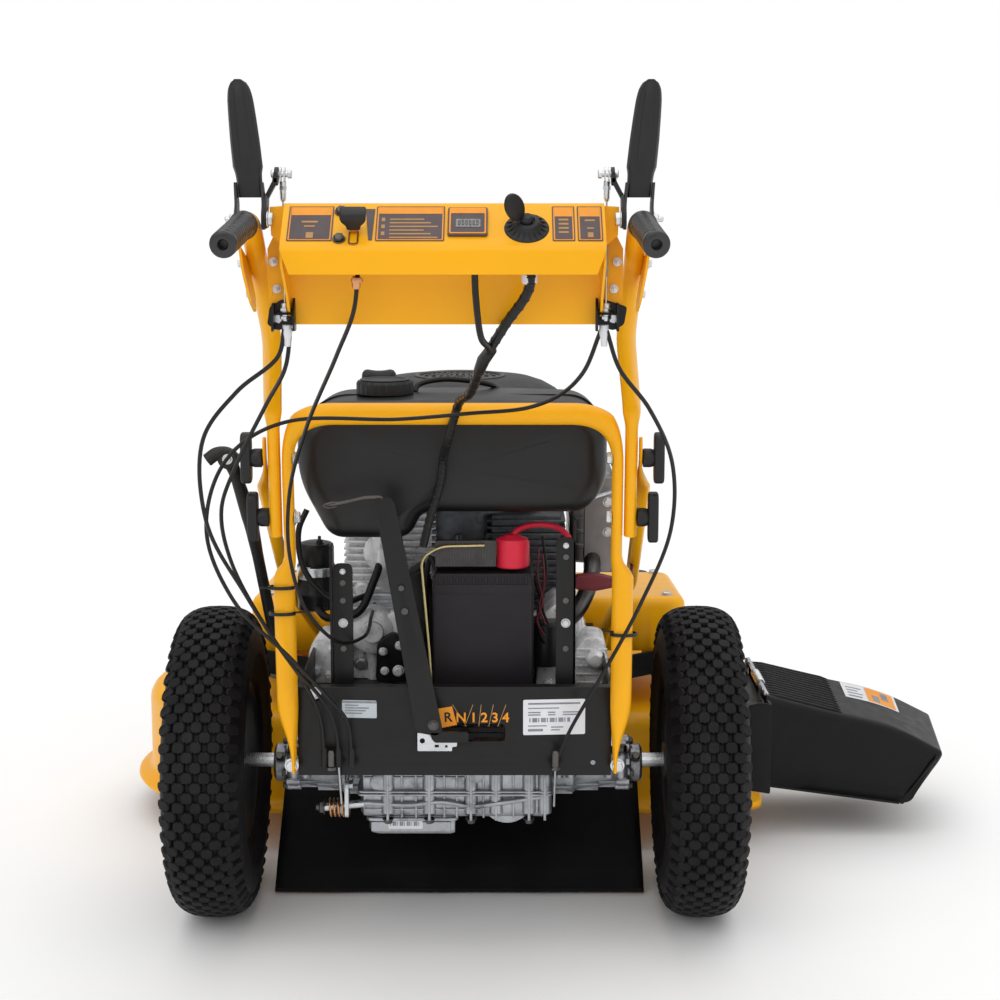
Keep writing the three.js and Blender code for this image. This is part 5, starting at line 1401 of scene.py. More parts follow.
def starter():
    can = Shape()
    can.lathe([(0, 392), (24, 392), (25, 394), (25, 410), (25.6, 411), (25.6, 415), (25, 416), (25, 452),
               (0, 452)], (-190, 70, 0), steps=40)
    band = Shape().lathe([(25.4, 438), (26, 438.6), (26, 449.4), (25.4, 450), (25.4, 438)], (-190, 70, 0),
                         steps=40)
    make("starter_band", band, "zinc")
    make("starter_base", can, "black_paint", 0.4, replaces="starter_motor")
    body = Shape()
    body.lathe([(0, 452), (23.6, 452), (24, 454), (24, 476), (21, 481), (14, 483), (0, 483)], (-190, 70, 0),
               steps=40)
    body.bolt((-184, 58, 482), (0, 0, 1), 8, 4, nut=True)
    make("starter_can", body, "black_paint", 0.4)
    tag = Shape()
    angles = [math.radians(a) for a in range(-150, -94, 8)]
    tag.skin([[(-190 + 25.4 * math.cos(a), 70 + 25.4 * math.sin(a), z) for a in angles]
              for z in (434, 452)],
             caps=False, ring_closed=False)
    make("starter_tag", tag, "silver_label")
    hose = Shape()
    hose.wire([(-196, 20, 534), (-206, 14, 510), (-206, 12, 480), (-196, 8, 450), (-172, 4, 424),
               (-150, 2, 414), (-120, 20, 420)], 10, 4, 14)
    hose.wire([(-190, 52, 398), (-170, 26, 388), (-130, 10, 400), (-110, 14, 440), (-96, 30, 480)], 10, 5.4,
              14)
    hose.wire([(-52, -36, 694), (-48, -30, 702), (-20, -20, 708), (16, -16, 706), (40, 0, 700),
               (58, 40, 690)], 8, 3.6, 12)
    make("engine_hoses", hose, "jacket", angle=60)


engine()
blower()
recoil_handle()
muffler()
starter()

# ---- frame: rear panel, engine plate, side plates, shield hanger ----
PANEL_Y = -190


def main_frame():
    panel = Shape()
    panel.slab_y(rectangle(-190, 190, 242, 353, 2), PANEL_Y, PANEL_Y + 3,
                 [rectangle(-14, 61, 285, 306, 5), circle(-168, 340, 5), circle(-148, 262, 3.5),
                  circle(122, 262, 3.5), circle(168, 258, 3)], 1.2)
    for end in SIDES.values():
        panel.block(*pair(end, 187.2, 189.7), -188.4, -160, 242.6, 352.4)
    panel.block(-189, 189, -188.4, -174, 350.2, 352.7)
    make("frame_rear_panel", panel, "black_paint", 0.5, replaces="main_frame")
    plates = Shape()
    plates.slab_z(rectangle(-187, 187, -160, 268), 296, 300, [circle(0, ENGINE_Y, 34, 32)], 0.4)
    side = [(-160, 242), (60, 242), (120, 263), (230, 283), (600, 283), (700, 243), (834, 243), (834, 262),
            (715, 270), (610, 323), (230, 323), (60, 353), (-160, 353)]
    for end in SIDES.values():
        holes = [circle(y, 303, 5) for y in (300, 420, 560)] + [circle(-40, 300, 9)]
        plates.slab_x(rounded(side, 8, 3), *pair(end, 187, 190), holes, 0.4)
        plates.block(*pair(end, 166, 187.5), 262, 600, 320, 323)
        plates.block(*pair(end, 150, 189), -66, 66, 242, 245)
        plates.block(*pair(end, 163, 190), 211, 214, 111, 298)
    plates.block(-190, 190, 211, 214, 111, 141)
    plates.block(-188, 188, 596, 600, 284, 322)
    for end in SIDES.values():
        strip = rounded([(196, 232), (292, 252), (292, 283), (280, 284), (196, 268)], 3, 3)
        plates.slab_y([(end * x, z) for x, z in strip], 268, 271, [circle(end * 215, 254, 4)], 0.4)
        plates.block(*pair(end, 189, 200), 266, 271, 236, 300)
    make("frame_plates", plates, "black_paint", 0.5)
    bolts = Shape()
    for end in SIDES.values():
        for y, z in ((-130, 268), (-40, 268), (40, 268), (300, 303), (560, 303)):
            bolts.bolt((end * 190, y, z), (end, 0, 0), 13, 5)
        bolts.bolt((end * 197, loop_y(256) - 3.2, 258), (0, -1, 0), 12, 5)
    for x, y in ((-160, -110), (150, -110), (-60, -140), (118, -140)):
        bolts.bolt((x, y, 300), (0, 0, 1), 11, 5)
    make("frame_bolts", bolts, "zinc", 0.3)


def letters(text, x, z, size, tilt=0.0):
    """Plain figures and letters for the gear marks, standing on the rear panel."""
    curve = bpy.data.curves.new("mark", "FONT")
    curve.body = text
    curve.size = size * 1.38
    curve.align_x = "CENTER"
    curve.align_y = "CENTER"
    curve.extrude = 0.12
    curve.offset = 0.35
    holder = bpy.data.objects.new("mark", curve)
    flat = bpy.data.meshes.new_from_object(holder)
    shape = Shape()
    shape.mesh([(x + v.co.x * math.cos(tilt) - v.co.y * math.sin(tilt), PANEL_Y - 0.5 - v.co.z,
                 z + v.co.x * math.sin(tilt) + v.co.y * math.cos(tilt)) for v in flat.vertices],
               [list(face.vertices) for face in flat.polygons])
    bpy.data.objects.remove(holder)
    bpy.data.curves.remove(curve)
    bpy.data.meshes.remove(flat)
    return shape


def label(name, x0, x1, z0, z1, base, bars, y=PANEL_Y, ink="grey_ink", tilt=0.0):
    """A stuck-on label with plain bars in place of its print."""
    plate = Shape().slab_y(rectangle(x0, x1, z0, z1, 2), y - 0.5, y, bevel=0.1)
    print_bars = Shape()
    for u, v, width, height in bars:
        print_bars.slab_y(rectangle(between(x0, x1, u), between(x0, x1, u + width), between(z0, z1, v),
                                    between(z0, z1, v + height)),
                          y - 0.75, y - 0.45)
    turn = lambda p: (p.x, p.y, p.z + (p.x - x0) * tilt)
    make(f"label_{name}", plate.moved(turn), base)
    make(f"label_{name}_bars", print_bars.moved(turn), ink)


def panel_marks():
    flag = Shape().slab_y([(-20, 326), (-3, 329), (3, 306), (-16, 302)], PANEL_Y - 0.4, PANEL_Y)
    make("gear_flag", flag, "orange")
    make("gear_mark_r", letters("R", -8, 315, 12, 0.05), "black_paint")
    for mark, x in (("N", 8), ("1", 23), ("2", 36), ("3", 49), ("4", 62)):
        make(f"gear_mark_{mark.lower()}", letters(mark, x, 314.5, 12), "orange")
    lines = Shape()
    for x0, x1 in ((2, 14), (19, 12), (31, 29), (45, 41), (59, 52)):
        lines.slab_y([(x1, 304), (x1 + 0.8, 304), (x0 + 0.8 + (x0 - x1) * 0.4, 331),
                      (x0 + (x0 - x1) * 0.4, 331)], PANEL_Y - 0.3, PANEL_Y)
    make("gear_fan_lines", lines, "decal_mark")
    rows = [(0.08, 0.86, 0.84, 0.05), (0.08, 0.74, 0.5, 0.03)]
    rows += [(u, v, w, 0.035) for v in (0.62, 0.55) for u, w in ((0.08, 0.2), (0.4, 0.12), (0.64, 0.28))]
    rows += [(0.1 + i * 0.047, 0.36, 0.018 + 0.014 * ((i * 5) % 3), 0.12) for i in range(14)]
    rows += [(0.08, 0.24, 0.3, 0.03), (0.08, 0.1, 0.24, 0.07), (0.45, 0.2, 0.2, 0.03),
             (0.45, 0.12, 0.14, 0.03)]
    label("white", 83, 158, 293, 337, "white", rows, tilt=0.02)
    small = [(0.08, 0.68 - i * 0.15, 0.4 + 0.4 * ((i * 3) % 4) / 4, 0.07)
             for i in range(4)] + [(0.0, 0.84, 1.0, 0.12)]
    label("silver", -136, -94, 315, 337, "silver_label", small, tilt=-0.02)
    bracket = Shape()
    outline = rounded([(-45, 297), (-30, 297), (-27, 288), (-8, 286), (3, 288), (3, 280), (-3, 279),
                       (-3, 274), (-45, 274)], 1.2, 2)
    bracket.slab_y(outline, PANEL_Y - 4.5, PANEL_Y - 2.4, [circle(-39, 287, 3.2),
                                                           rectangle(-24, -19, 279, 282),
                                                           circle(-10, 280, 1.6)], 0.3)
    bracket.slab_y(rectangle(-44, -4, 275, 279), PANEL_Y - 2.6, PANEL_Y)
    make("gear_bracket", bracket, "zinc", 0.2)
    brush = Shape()
    for z in (292, 299):
        brush.slab_y([(-12, z - 3), (59, z - 3), (59, z + 2.4), (-12, z + 2.4)], PANEL_Y + 3.2, PANEL_Y + 6,
                     bevel=0.3)
    make("gear_slot_seal", brush, "sheet_rubber")
    ferrules = Shape()
    for x, y, z in ((-149, -199.5, 268), (122, -201, 268)):
        ferrules.lathe([(0, -12), (4.0, -12), (4.8, -10), (4.8, 6), (3.6, 9), (0, 9)], (x, y, z), (0, 0, 1),
                       16)
    for x in (-149, 122):
        ferrules.bolt((x, -200, 256), (0, 0, -1), 10, 4, washer=False)
    make("cable_feet", ferrules, "dark_steel", 0.2)
    boots = Shape()
    for x, y, z in ((-140, -200, 268), (-157, -199, 268), (-124, -200, 268)):
        boots.lathe([(0, -12), (3.0, -12), (4.0, -10), (4.0, 8), (3.0, 12), (0, 12)], (x, y, z), (0, 0, 1),
                    16)
    make("cable_boots", boots, "jacket", 0.2)
    below = Shape()
    below.rod(1.4, (-140, -200, 256), (-140, -170, 200), 10)
    below.rod(1.4, (122, -201, 256), (122, -150, 190), 10)
    below.bolt((-168, -191, 346), (0, -1, 0), 10, 4)
    below.lathe([(0, 0), (4.6, 0), (4.6, 16), (0, 16)], (-149, -196, 256), (0, 0, 1), 16)
    make("cable_inner_wires", below, "zinc")


main_frame()
panel_marks()


# ---- transmission ----
def transmission():
    case = Shape()
    section = lambda s, x: [(x, between(-4, y, s), between(194, z, s)) for y, z in rounded(
        [(-88, 152), (80, 152), (80, 236), (-88, 236)], 14, 5)]
    case.skin([section(s, x) for x, s in ((-123, 0.9), (-119, 0.985), (-112, 1), (108, 1), (115, 0.985),
                                          (119, 0.9))])
    lower = rounded([(-80, 131), (-74, 127), (50, 127), (62, 140), (62, 190), (-80, 190)], 8, 4)
    case.skin([[(x, between(-10, y, s), between(160, z, s)) for y, z in lower]
               for x, s in ((-113, 0.86), (-108, 0.97), (-100, 1), (-8, 1), (-3, 0.97))])
    case.lathe([(0, -80), (34, -80), (34, 40), (0, 40)], (64, 0, 178), (0, 1, 0), 40)
    make("transmission_body", case, "cast", 1.6, segments=3, replaces="transmission_case")
    detail = Shape()
    split, pan = rectangle(-127, 123, -95, 84, 10), rectangle(-116, 2, -86, 66, 10)
    for outline, z0, z1 in ((split, 184, 187), (split, 188, 191), (pan, 148, 152)):
        detail.skin([[(x, y, z) for x, y in outline] for z in (z0, z1)])
    for x in (-88, -35, 18, 50, 92, 112):
        detail.lathe([(0, 160), (9, 160), (9, 226), (6, 230), (0, 230)], (x, -86, 0), steps=20)
        detail.skin([[(x + a, b, z) for a, b in ((-1.8, -96), (1.8, -96), (1.8, -60), (-1.8, -60))]
                     for z in (152, 222)])
    for x in (-70, -52, -16, 0, 34, 72):
        detail.block(x - 1.4, x + 1.4, -91, -80, 194, 232)
        detail.block(x - 1.4, x + 1.4, -91, -80, 154, 183)
    for z in (164, 206, 218):
        detail.block(-118, 30, -90.6, -80, z, z + 2.4)
    detail.wire([(-118, -90, 174), (-60, -92, 172), (-20, -92, 176), (20, -91, 170), (60, -94, 176),
                 (108, -90, 182)], 6, 3.4, 12)
    detail.block(-110, -8, -83, -79, 133, 146)
    for z in (200, 212):
        detail.lathe([(0, 0), (13, 0), (13, 7), (9, 9), (0, 9)], (-98 if z == 200 else 22, -84, z),
                     (0, -1, 0), 24)
    make("transmission_ribs", detail, "cast", 0.8)
    arms = Shape()
    for side in SIDES.values():
        profile = [(0, 112), (36, 112), (39, 118), (38, 140), (40, 144), (40, 150), (37, 154), (34, 172),
                   (30, 200), (28, 208), (33, 210), (33, 220), (28, 222), (25, 226), (25, 238), (20, 241),
                   (0, 241)]
        arms.lathe(profile, (0, 0, 200), (side, 0, 0), 48)
        for y, z in around(12, start=0.1):
            for reach, x0, x1 in ((41.5, 114, 150), (37, 156, 184), (33, 184, 208)):
                if z * reach < 26:
                    web = ((20, -1.6), (20, 1.6), (reach, 1.6), (reach, -1.6))
                    arms.skin([[(x, y * r - z * w, 200 + z * r + y * w) for r, w in web]
                               for x in pair(side, x0, x1)])
            arms.lathe([(0, 206), (5, 206), (5, 224), (0, 224)], (0, 31 * y, 200 + 31 * z), (side, 0, 0),
                       12)
        arms.block(*pair(side, 154, 186), -62, 62, 229, 241.5)
        for y0, y1 in ((-64, -46), (-20, 20), (46, 64)):
            arms.block(*pair(side, 158, 182), y0, y1, 206, 236)
        arms.skin([[(x, y, z) for y, z in ((-34, 214), (-58, 214), (-58, 222), (-34, 222))]
                   for x in pair(side, 120, 222)])
        for x in (130, 146, 196, 212):
            arms.lathe([(0, 196), (7, 196), (8, 200), (8, 226), (5, 230), (0, 230)], (side * x, -52, 0),
                       steps=16)
    make("axle_arms", arms, "cast", 0.9)
    bolts = Shape()
    for x in (-88, -35, 18, 92):
        bolts.bolt((x, -86, 152), (0, 0, -1), 10, 5)
        bolts.bolt((x, -86, 230), (0, 0, 1), 10, 4)
    for side in SIDES.values():
        for y, z in around(8, 31, 0.2):
            bolts.bolt((side * 224, y, 200 + z), (side, 0, 0), 8, 4)
        for y in (-50, 50):
            bolts.bolt((side * 170, y, 229), (0, 0, -1), 11, 5)
        for x in (196, 212):
            bolts.bolt((side * x, -52, 230), (0, 0, 1), 12, 8)
        bolts.bolt((side * 232, -25, 214), (0, -0.8, 0.6), 10, 8)
    bolts.bolt((-168, -90, 168), (-1, 0, 0), 13, 6, nut=True)
    make("transmission_bolts", bolts, "dark_steel", 0.3)
    lever = Shape()
    lever.rod(5, (-170, -90, 168), (-118, -86, 172), 18)
    lever.slab_x(rounded([(-104, 158), (-78, 158), (-76, 186), (-90, 214), (-100, 200)], 6), -142, -137)
    lever.bolt((-146, -90, 168), (-1, 0, 0), 14, 6)
    lever.bolt((-132, -88, 198), (-1, 0, 0), 10, 5)
    make("brake_arm", lever, "zinc", 0.3)
    spring = Shape()
    coil = [(-163 + 26 * t / 90, -90 + 11 * math.cos(math.tau * t / 18),
             168 + 11 * math.sin(math.tau * t / 18)) for t in range(91)]
    spring.sweep(coil, 1.5, 8)
    make("brake_spring", spring, "brass", angle=60)
    hook = Shape()
    hook.wire([(-140, -96, 206), (-136, -98, 226), (-138, -120, 240), (-142, -160, 236)], 8, 2, 10)
    make("brake_hook", hook, "dark_steel", angle=60)


transmission()
label("casing", -88, -44, 137, 151, "white",
      [(0.06 + i * 0.068, 0.3, 0.02 + 0.02 * ((i * 5) % 3), 0.4) for i in range(13)], y=-83.2)


# ---- deck ----
SPINDLES = {"left": (-266, 457), "right": (139, 557)}
DECK_R = 219


def hull(circles, steps=96):
    """The outline of a band stretched round circles."""
    points = sorted(point for x, y, r in circles for point in circle(x, y, r, steps))

    def half(ordered):
        chain = []
        for p in ordered:
            while len(chain) > 1:
                (ax, ay), (bx, by) = chain[-2], chain[-1]
                if (bx - ax) * (p[1] - ay) - (by - ay) * (p[0] - ax) > 1e-6:
                    break
                chain.pop()
            chain.append(p)
        return chain
    return half(points)[:-1] + half(points[::-1])[:-1]


def resampled(outline, count):
    """The closed outline as equally spaced points, so that rings of it match."""
    points = [Vector(p) for p in outline]
    lengths = [(points[(i + 1) % len(points)] - points[i]).length for i in range(len(points))]
    start = min(range(len(points)), key=lambda i: (points[i].y, points[i].x))
    total, result = sum(lengths), []
    i, used = start, 0.0
    for step in range(count):
        target = total * step / count
        while used + lengths[i] < target:
            used += lengths[i]
            i = (i + 1) % len(points)
        result.append(tuple(points[i].lerp(points[(i + 1) % len(points)], (target - used) / lengths[i])))
    return result


CHAMBERS = [(*SPINDLES["left"], DECK_R), (*SPINDLES["right"], DECK_R), (410, 264, 26), (410, 505, 26)]


def deck():
    count = 300
    base = resampled(hull(CHAMBERS), count)
    normals = outward(base)
    mouth = lambda x, y: x > 425 and 292 < y < 478
    flange_room = lambda x, y: 1.2 + 20 * limited(max(268 - y, y - 496) / 110) if x > 330 else 22
    rings = []
    outside = [(20, 55), (21, 57), (20, 60), (17, 62.5), (7, 66), (2, 70), (0, 78), (0, 174), (-1.5, 182),
               (-6, 190), (-13, 196.5), (-22, 199.5), (-24.5, 200)]
    inside = [(-24.5, 197), (-24, 196.5), (-15, 193.5), (-9, 188), (-4.5, 180), (-3, 173), (-3, 78),
              (-1, 68), (5, 63), (16, 59), (18, 55)]
    for grow, z in [*outside, *inside]:
        ring = []
        for (x, y), n in zip(base, normals):
            out = min(grow, flange_room(x, y))
            ring.append((x + n.x * out, y + n.y * out, z))
        rings.append(ring)
    deck_skin = Shape()
    deck_skin.points = [Vector(point) for ring in rings for point in ring]
    total = len(rings)
    for r in range(total):
        following = (r + 1) % total
        if r == len(outside) - 1:
            continue
        for i in range(count):
            k = (i + 1) % count
            x, y = base[i]
            z0, z1 = rings[r][0][2], rings[following][0][2]
            if mouth(x, y) and min(z0, z1) >= 62 and max(z0, z1) <= 182:
                continue
            deck_skin.faces.append([r * count + i, r * count + k, following * count + k,
                                    following * count + i])
    deck_skin.mesh(rings[len(outside) - 1], [list(range(count))])
    deck_skin.mesh(rings[len(outside)], [list(range(count))[::-1]])
    make("deck_pressing", deck_skin, "yellow", body="deck", angle=40, replaces="deck_shell")
    fittings = Shape()
    for x, y in SPINDLES.values():
        fittings.lathe([(13.5, 197), (40, 197), (40, 206), (38, 208), (26, 208), (24, 212), (13.5, 212),
                        (13.5, 197)], (x, y, 0), steps=40)
        for a, b in around(4, 32, 0.4):
            fittings.bolt((x + a, y + b, 208), (0, 0, 1), 12, 6)
    make("spindle_housings", fittings, "cast_dark", 0.5, body="deck")
    edge = Shape().slab_x(rectangle(290, 480, 68, 188, 5), 434.6, 437.8, [rectangle(296, 474, 72, 182, 4)])
    make("mouth_frame", edge, "yellow", 0.4, body="deck")
    brackets = Shape()
    for y in (300, 464):
        brackets.slab_x(rounded([(y - 12, 188), (y + 12, 188), (y + 9, 222), (y - 9, 222)], 4), 437, 440)
    brackets.block(414, 440, 288, 476, 198, 201)
    make("chute_hinge_brackets", brackets, "black_paint", 0.4, body="deck")
    rod = Shape()
    rod.rod(3.4, (444, 280, 216), (444, 484, 216), 16)
    for y in (300, 464):
        rod.rod(3, (437, y, 216), (445, y, 216), 12)
    spring = [(444 + 6 * math.cos(math.tau * t / 12), 340 + t * 0.34,
               216 + 6 * math.sin(math.tau * t / 12)) for t in range(180)]
    rod.sweep(spring, 1.0, 6)
    make("chute_hinge_rod", rod, "zinc", 0.2, body="deck")


deck()
for NODE, PAINT in (("spindle_left", "steel"), ("spindle_right", "steel"), ("engine_pulley", "steel"),
                    ("blade_left", "dark_steel"), ("blade_right", "dark_steel"),
                    ("deck_belt", "sheet_rubber")):
    repaint(NODE, PAINT)


def belt_cover():
    count = 240
    outline = resampled(rectangle(-307, 325, 276, 566, 26, 10), count)
    top = lambda y: between(361, 340, (y - 276) / 290)
    shell = Shape()
    rings = []
    levels = [(0, None), (0, 16), (-0.8, 9), (-4, 3.4), (-9, 0.6), (-12, 0), (-15, 0)]
    gap = lambda x, y: ((abs(x) < 262 and y < 300) or (-110 < x < 215 and y > 540)
                        or (x < -290 and 381 < y < 533))
    for grow, drop in levels:
        ring = []
        for (x, y), n in zip(outline, outward(outline)):
            z = (282 if gap(x, y) else 250) if drop is None else top(y + n.y * grow) - drop
            ring.append((x + n.x * grow, y + n.y * grow, z))
        rings.append(ring)
    shell.skin(rings, caps=False)
    shell.mesh(rings[-1], [list(range(count))])
    made = make("belt_cover_pressing", shell, "yellow", angle=40, replaces="belt_cover")
    thicken(made, 2.4)
    screws = Shape()
    for x, y in ((-280, 300), (-280, 542), (298, 300), (298, 542), (60, 300), (-60, 542)):
        screws.bolt((x, y, top(y)), (0, -0.07, 1), 12, 4)
    make("belt_cover_screws", screws, "zinc", 0.3)


belt_cover()


# ---- discharge chute ----
CHUTE_X, CHUTE_REAR, CHUTE_WIDE = 448, 274, 216


def chute():
    soft = 11
    rows = [0, 1.2, 3, 5.5, 8.5, 11.5, *[16 + i * 14 for i in range(14)], 204.5, 207.5, 210.5, 213, 214.8,
            CHUTE_WIDE]
    end_x = 195
    low_z = lambda x: between(78, 50, x / 207)
    top_line = rounded([(0, 214), (97, 188), (184, 168), (259, 126), (252, 112), (211, 53),
                        (end_x, low_z(end_x))],
                       [0, 40, 50, 18, 10, 11, 0], 7)
    normals = []
    for i in range(len(top_line)):
        a, b = Vector(top_line[max(i - 1, 0)]), Vector(top_line[min(i + 1, len(top_line) - 1)])
        along = (b - a).normalized()
        normals.append((-along.y, along.x))

    def skewed(x, y, z):
        return (CHUTE_X + x * (1 + 0.105 * y / CHUTE_WIDE), CHUTE_REAR + y, z)

    def on_top(x, y, lift):
        for (xa, za), (xb, zb) in zip(top_line, top_line[1:]):
            if xa <= x <= xb:
                return skewed(x, y, between(za, zb, (x - xa) / (xb - xa)) + lift)
        return skewed(x, y, lift)

    hood = Shape()
    rings = []
    for y in rows:
        near = min(y, CHUTE_WIDE - y)
        drop = soft - math.sqrt(max(0.0, soft * soft - (soft - near) ** 2)) if near < soft else 0.0
        held = [drop * limited((z - 66) / 50) for _, z in top_line]
        rings.append([skewed(x - n[0] * d, y, z - n[1] * d) for (x, z), n, d in zip(top_line, normals,
                held)])
    hood.skin(rings, caps=False, ring_closed=False)
    for ring, y in ((rings[0], 0), (rings[-1], CHUTE_WIDE)):
        steps = [[Vector(p).lerp(Vector(skewed(min(x, end_x), y, low_z(min(x, end_x)))), share)
                  for p, (x, _) in zip(ring, top_line)] for share in (0, 0.03, 0.15, 0.4, 0.7, 1)]
        hood.skin(steps if y else steps[::-1], caps=False, ring_closed=False)
    shell = make("chute_hood", hood, "chute", body="chute", angle=60, replaces="chute")
    thicken(shell, 3.4)
    louvers = Shape()
    for i in range(14):
        y = 13 + i * 14.6
        path = [Vector(on_top(x, y, -0.2)) for x in (3, 14, 28, 42, 56, 70, 84, 98, 108)]
        louvers.sweep(path, [1.2, 3.2, 3.2, 3.2, 3.2, 3.2, 3.2, 3.2, 1.2], 12)
    make("chute_louvers", louvers, "chute", body="chute", angle=60)
    rim = Shape()
    rim.sweep([Vector(p) + Vector((0, 1.4, 0)) for p in rings[0]], 2.0, 10)
    rim.sweep([Vector(skewed(x, 1.5, z)) for x, z in ((2, 78), (end_x, low_z(end_x)))], 2.2, 10)
    make("chute_rim", rim, "chute", body="chute", angle=60)

    def sticker(name, look, patches, lift):
        shape = Shape()
        for x0, x1, y0, y1 in patches:
            xs = [between(x0, x1, i / 8) for i in range(9)]
            upper = [[on_top(x, y, lift) for x in xs] for y in (y0, y1)]
            lower = [[on_top(x, y, lift - 0.5) for x in xs] for y in (y1, y0)]
            shape.skin([*upper, *lower], loop=True, ring_closed=False)
        make(name, shape, look, body="chute")

    sticker("chute_label", "white", [(126, 204, 116, 202)], 0.7)
    sticker("chute_label_colour", "orange", [(160, 200, 120, 198)], 1.0)
    sticker("chute_label_marks", "grey_ink", [(168, 178, 128, 160), (182, 192, 150, 188),
                                              (132, 152, 126, 132), (132, 154, 144, 148),
                                              (132, 148, 160, 164), (132, 154, 176, 180)], 1.2)
    mount = Shape()
    angles = [math.radians(a) for a in range(-80, 1, 8)]
    corner, inside = ([(410 + r * math.cos(a), 264 + r * math.sin(a)) for a in angles] for r in (29, 26.6))
    mount.slab_z([*corner, (439, 292), (436.6, 292), *inside[::-1]], 92, 210, bevel=0.6)
    mount.slab_z([(384, 240), *corner, (439, 292), (384, 292)], 202, 205, bevel=0.6)
    mount.slab_y(rounded([(398, 88), (446, 80), (446, 213), (430, 217), (398, 209)], [3, 3, 4, 6, 4], 4),
                 229, 232.4, bevel=1)
    mount.slab_x(rounded([(230, 82), (264, 82), (264, 212), (230, 214)], 3, 2), 442.4, 446, bevel=0.6)
    make("chute_mount", mount, "chute", 0.4, body="deck")


chute()


# ---- trail shield ----
def trail_shield():
    y_top, z_top = 192, 119
    columns = [-250 + i * 500 / 40 for i in range(41)]
    line = smooth_route([(0, y_top, z_top - 2), (0, 150, 86), (0, 100, 52), (0, 68, 30), (0, 60, 22),
                         (0, 42, 7), (0, 40, 5)], 4)
    rings = []
    for p in line:
        sag = math.sin(math.pi * (z_top - p.z) / 114)
        rings.append([(x, p.y + 0.9 * sag * math.sin(x / 61) + 0.5 * math.sin(x / 23),
                       p.z + 0.5 * sag * math.sin(x / 37 + 1)) for x in columns])
    sheet_shape = Shape().skin(rings, caps=False, ring_closed=False)
    made = make("trail_shield_sheet", sheet_shape, "sheet_rubber", body="trail_shield", angle=60,
                replaces="trail_shield")
    thicken(made, 3.2, 0)
    hem = Shape()
    hem.sweep([Vector((x, 41 + 0.5 * math.sin(x / 23), 8)) for x in columns], 2.4, 8)
    hem.lathe([(7, -250), (8.6, -250), (8.6, 250), (7, 250), (7, -250)], (0, 194, 119), (1, 0, 0), 24)
    make("trail_shield_hem", hem, "sheet_rubber", body="trail_shield", angle=60)
    rod = Shape()
    rod.rod(6, (-257, 194, 119), (257, 194, 119), 20)
    make("trail_shield_rod", rod, "zinc", 0.4, body="trail_shield")


trail_shield()


# ---- deck height lever and gear lever ----
def deck_height_lever():
    x0, y0, z0 = -214, 30, 300
    path = bent_path([(x0, y0, z0), (x0 - 30, y0 - 12, z0 + 80), (x0 - 48, y0 - 66, z0 + 230),
                      (x0 - 66, y0 - 92, z0 + 306), (x0 - 72, y0 - 97, z0 + 316)], 14, 8)
    dense = filled_in(path, 12)
    flat = [(a * 1.15, b * 0.8) for a, b in around(20)]
    arm = Shape()
    radii = [7 + 2.6 * limited((p.z - 480) / 60) * limited((596 - p.z) / 60) + 1.6 * limited((p.z - 590) / 20)
             for p in dense]
    arm.sweep(dense, radii, section=flat)
    arm.lathe([(0, -9), (15, -9), (16, -7), (16, 18), (14, 20), (0, 20)], (x0, y0, z0), (1, 0, 0), 32)
    arm.wire([(x0 - 60, y0 - 92, 610), (x0 - 72, y0 - 96, 620), (x0 - 84, y0 - 99, 620),
              (x0 - 96, y0 - 100, 612)], 8, 8.4, 20)
    arm.lathe([(0, -5), (12, -5), (13, -4), (13, 5), (11, 7), (0, 7)], (x0 - 70, y0 - 98, 614), (0, -1, 0),
              28)
    make("deck_height_lever_arm", arm, "plastic", 0.4, body="deck_height_lever", angle=45,
         replaces="deck_height_lever")
    bolt = Shape()
    bolt.bolt((x0 - 70, y0 - 105, 614), (0, -1, 0), 9, 3.4)
    bolt.bolt((x0 + 19.6, y0, z0), (1, 0, 0), 12, 2, washer=False)
    make("deck_height_lever_bolt", bolt, "zinc", 0.2, body="deck_height_lever")


def shift_lever():
    bar = Shape()
    outline = rounded([(-46, 303), (-20, 298), (-14, 306), (-69, 583), (-74, 589), (-90, 586), (-92, 578)],
                      [6, 6, 4, 4, 6, 4, 4], 4)
    bar.slab_y(outline, -213, -208.4, [circle(-62, 480, 2.6)], 0.6)
    bar.slab_y(rounded([(-24, 290), (17.4, 290), (17.4, 303), (-30, 303)], 3), -213, -208.4, bevel=0.6)
    tongue_x = 12.36
    bar.slab_z(rectangle(tongue_x - 5, tongue_x + 5, -211, -178, 1), 293, 299.6, bevel=0.6)
    bar.slab_y([(tongue_x - 5, 300), (tongue_x + 5, 300), (32, 250), (18, 250)], -182, -178.4, bevel=0.4)
    bar.rod(9, (25, -185, 250), (25, -174, 250), 28)
    make("shift_lever_bar", bar, "black_paint", 0.5, body="shift_lever", angle=40, replaces="shift_lever")
    wire = Shape()
    wire.sweep(bent_path([(-80, -209, 578), (-84, -206, 588), (-104, -204, 587), (-132, -200, 580),
                          (-152, -197, 576)], 5, 6), 2.3, 12)
    wire.wire([(-137, -200, 581), (-146, -202, 580.5), (-154, -202, 577), (-148, -200, 574),
               (-138, -199, 576)], 5, 0.9, 8)
    make("shift_lever_rod", wire, "dark_steel", 0.1, body="shift_lever", angle=60)
    rivets = Shape()
    rivets.lathe([(0, 0), (4.6, 0), (4.2, 2), (0, 2.8)], (-58, -213, 452), (0, -1, 0), 16)
    rivets.bolt((-62, -213, 480), (0, -1, 0), 7, 2.4, washer=False)
    rivets.bolt((-25, -213, 312), (0, -1, 0), 9, 3)
    make("shift_lever_rivets", rivets, "dark_steel", 0.2, body="shift_lever")


deck_height_lever()
shift_lever()


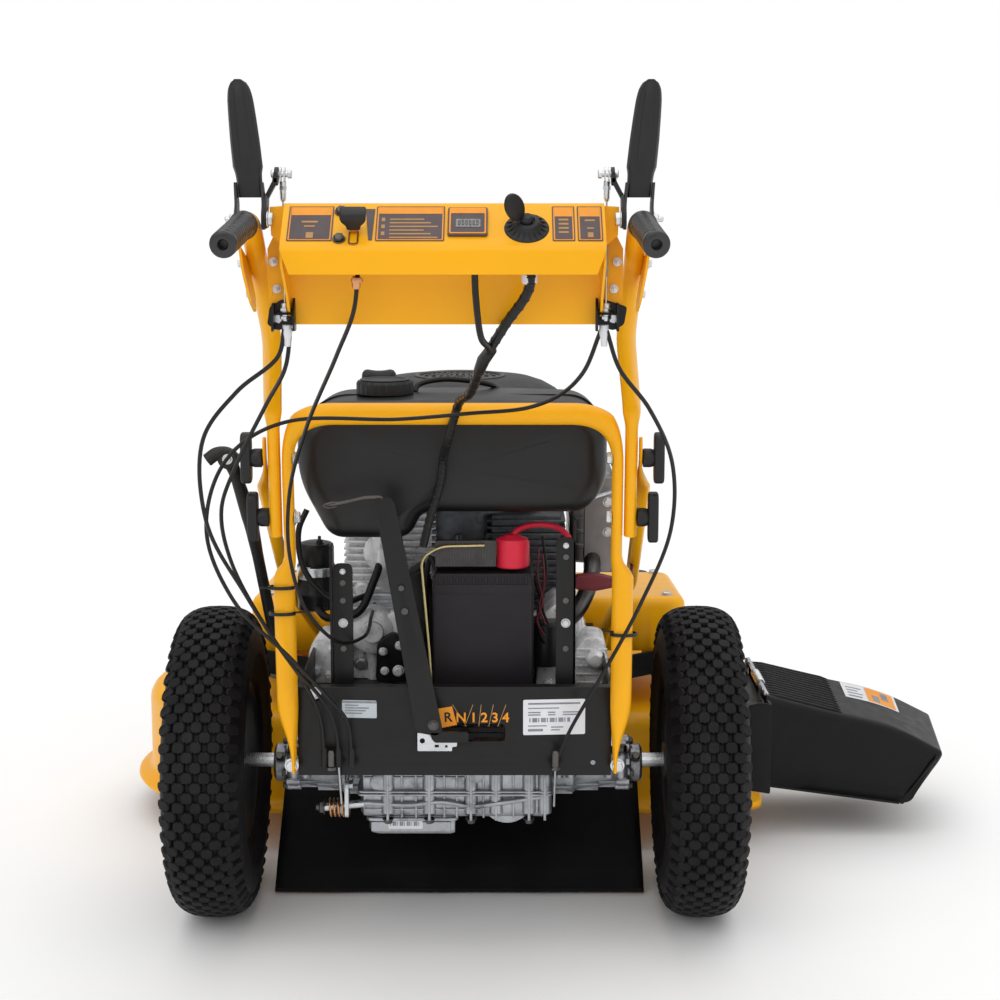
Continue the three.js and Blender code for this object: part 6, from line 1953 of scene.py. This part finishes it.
# ---- floor, lights and camera ----
# Each soft lamp: the direction that it shines from, its strength, and how widely it spreads.
SUNS = [("key", (-0.5, -0.9, 1.0), 1.0, 60), ("fill", (0.8, -0.8, 0.6), 0.6, 80),
        ("top", (0.1, 0.3, 1.0), 1.0, 70)]


SKY_LIGHT, FLOOR_SIZE = 0.52, 200


def studio():
    floor = bpy.data.meshes.new("floor")
    size = FLOOR_SIZE
    floor.from_pydata([(-size, -size, 0), (size, -size, 0), (size, size, 0), (-size, size, 0)], [],
                      [[0, 1, 2, 3]])
    floor.materials.append(LOOK["floor"])
    plane = bpy.data.objects.new("floor", floor)
    bpy.context.scene.collection.objects.link(plane)
    scene = bpy.context.scene
    scene.view_settings.view_transform = "Standard"
    world = bpy.data.worlds.new("studio")
    world.use_nodes = True
    scene.world = world
    tree = world.node_tree
    lit, seen = tree.nodes["Background"], tree.nodes.new("ShaderNodeBackground")
    for background, strength in ((lit, SKY_LIGHT), (seen, 1.0)):
        background.inputs["Color"].default_value = (1, 1, 1, 1)
        background.inputs["Strength"].default_value = strength
    rays = tree.nodes.new("ShaderNodeLightPath")
    either = tree.nodes.new("ShaderNodeMixShader")
    tree.links.new(rays.outputs["Is Camera Ray"], either.inputs["Fac"])
    tree.links.new(lit.outputs["Background"], either.inputs[1])
    tree.links.new(seen.outputs["Background"], either.inputs[2])
    tree.links.new(either.outputs["Shader"], tree.nodes["World Output"].inputs["Surface"])
    for name, direction, strength, spread in SUNS:
        light = bpy.data.lights.new(name, "SUN")
        light.energy = strength
        light.angle = math.radians(spread)
        lamp = bpy.data.objects.new(name, light)
        lamp.rotation_mode = "QUATERNION"
        lamp.rotation_quaternion = Vector(direction).to_track_quat("Z", "Y")
        scene.collection.objects.link(lamp)


CAMERA_SPOT, CAMERA_DOWN, CAMERA_LENS = (55, -2420, 955), 9.5, 68.58


def camera():
    data = bpy.data.cameras.new("camera")
    data.sensor_width = 36
    data.lens = CAMERA_LENS
    data.clip_start, data.clip_end = 0.05, 60
    made = bpy.data.objects.new("camera", data)
    made.location = place(CAMERA_SPOT)
    made.rotation_euler = (math.radians(90 - CAMERA_DOWN), 0, 0)
    bpy.context.scene.collection.objects.link(made)
    bpy.context.scene.camera = made


studio()
camera()
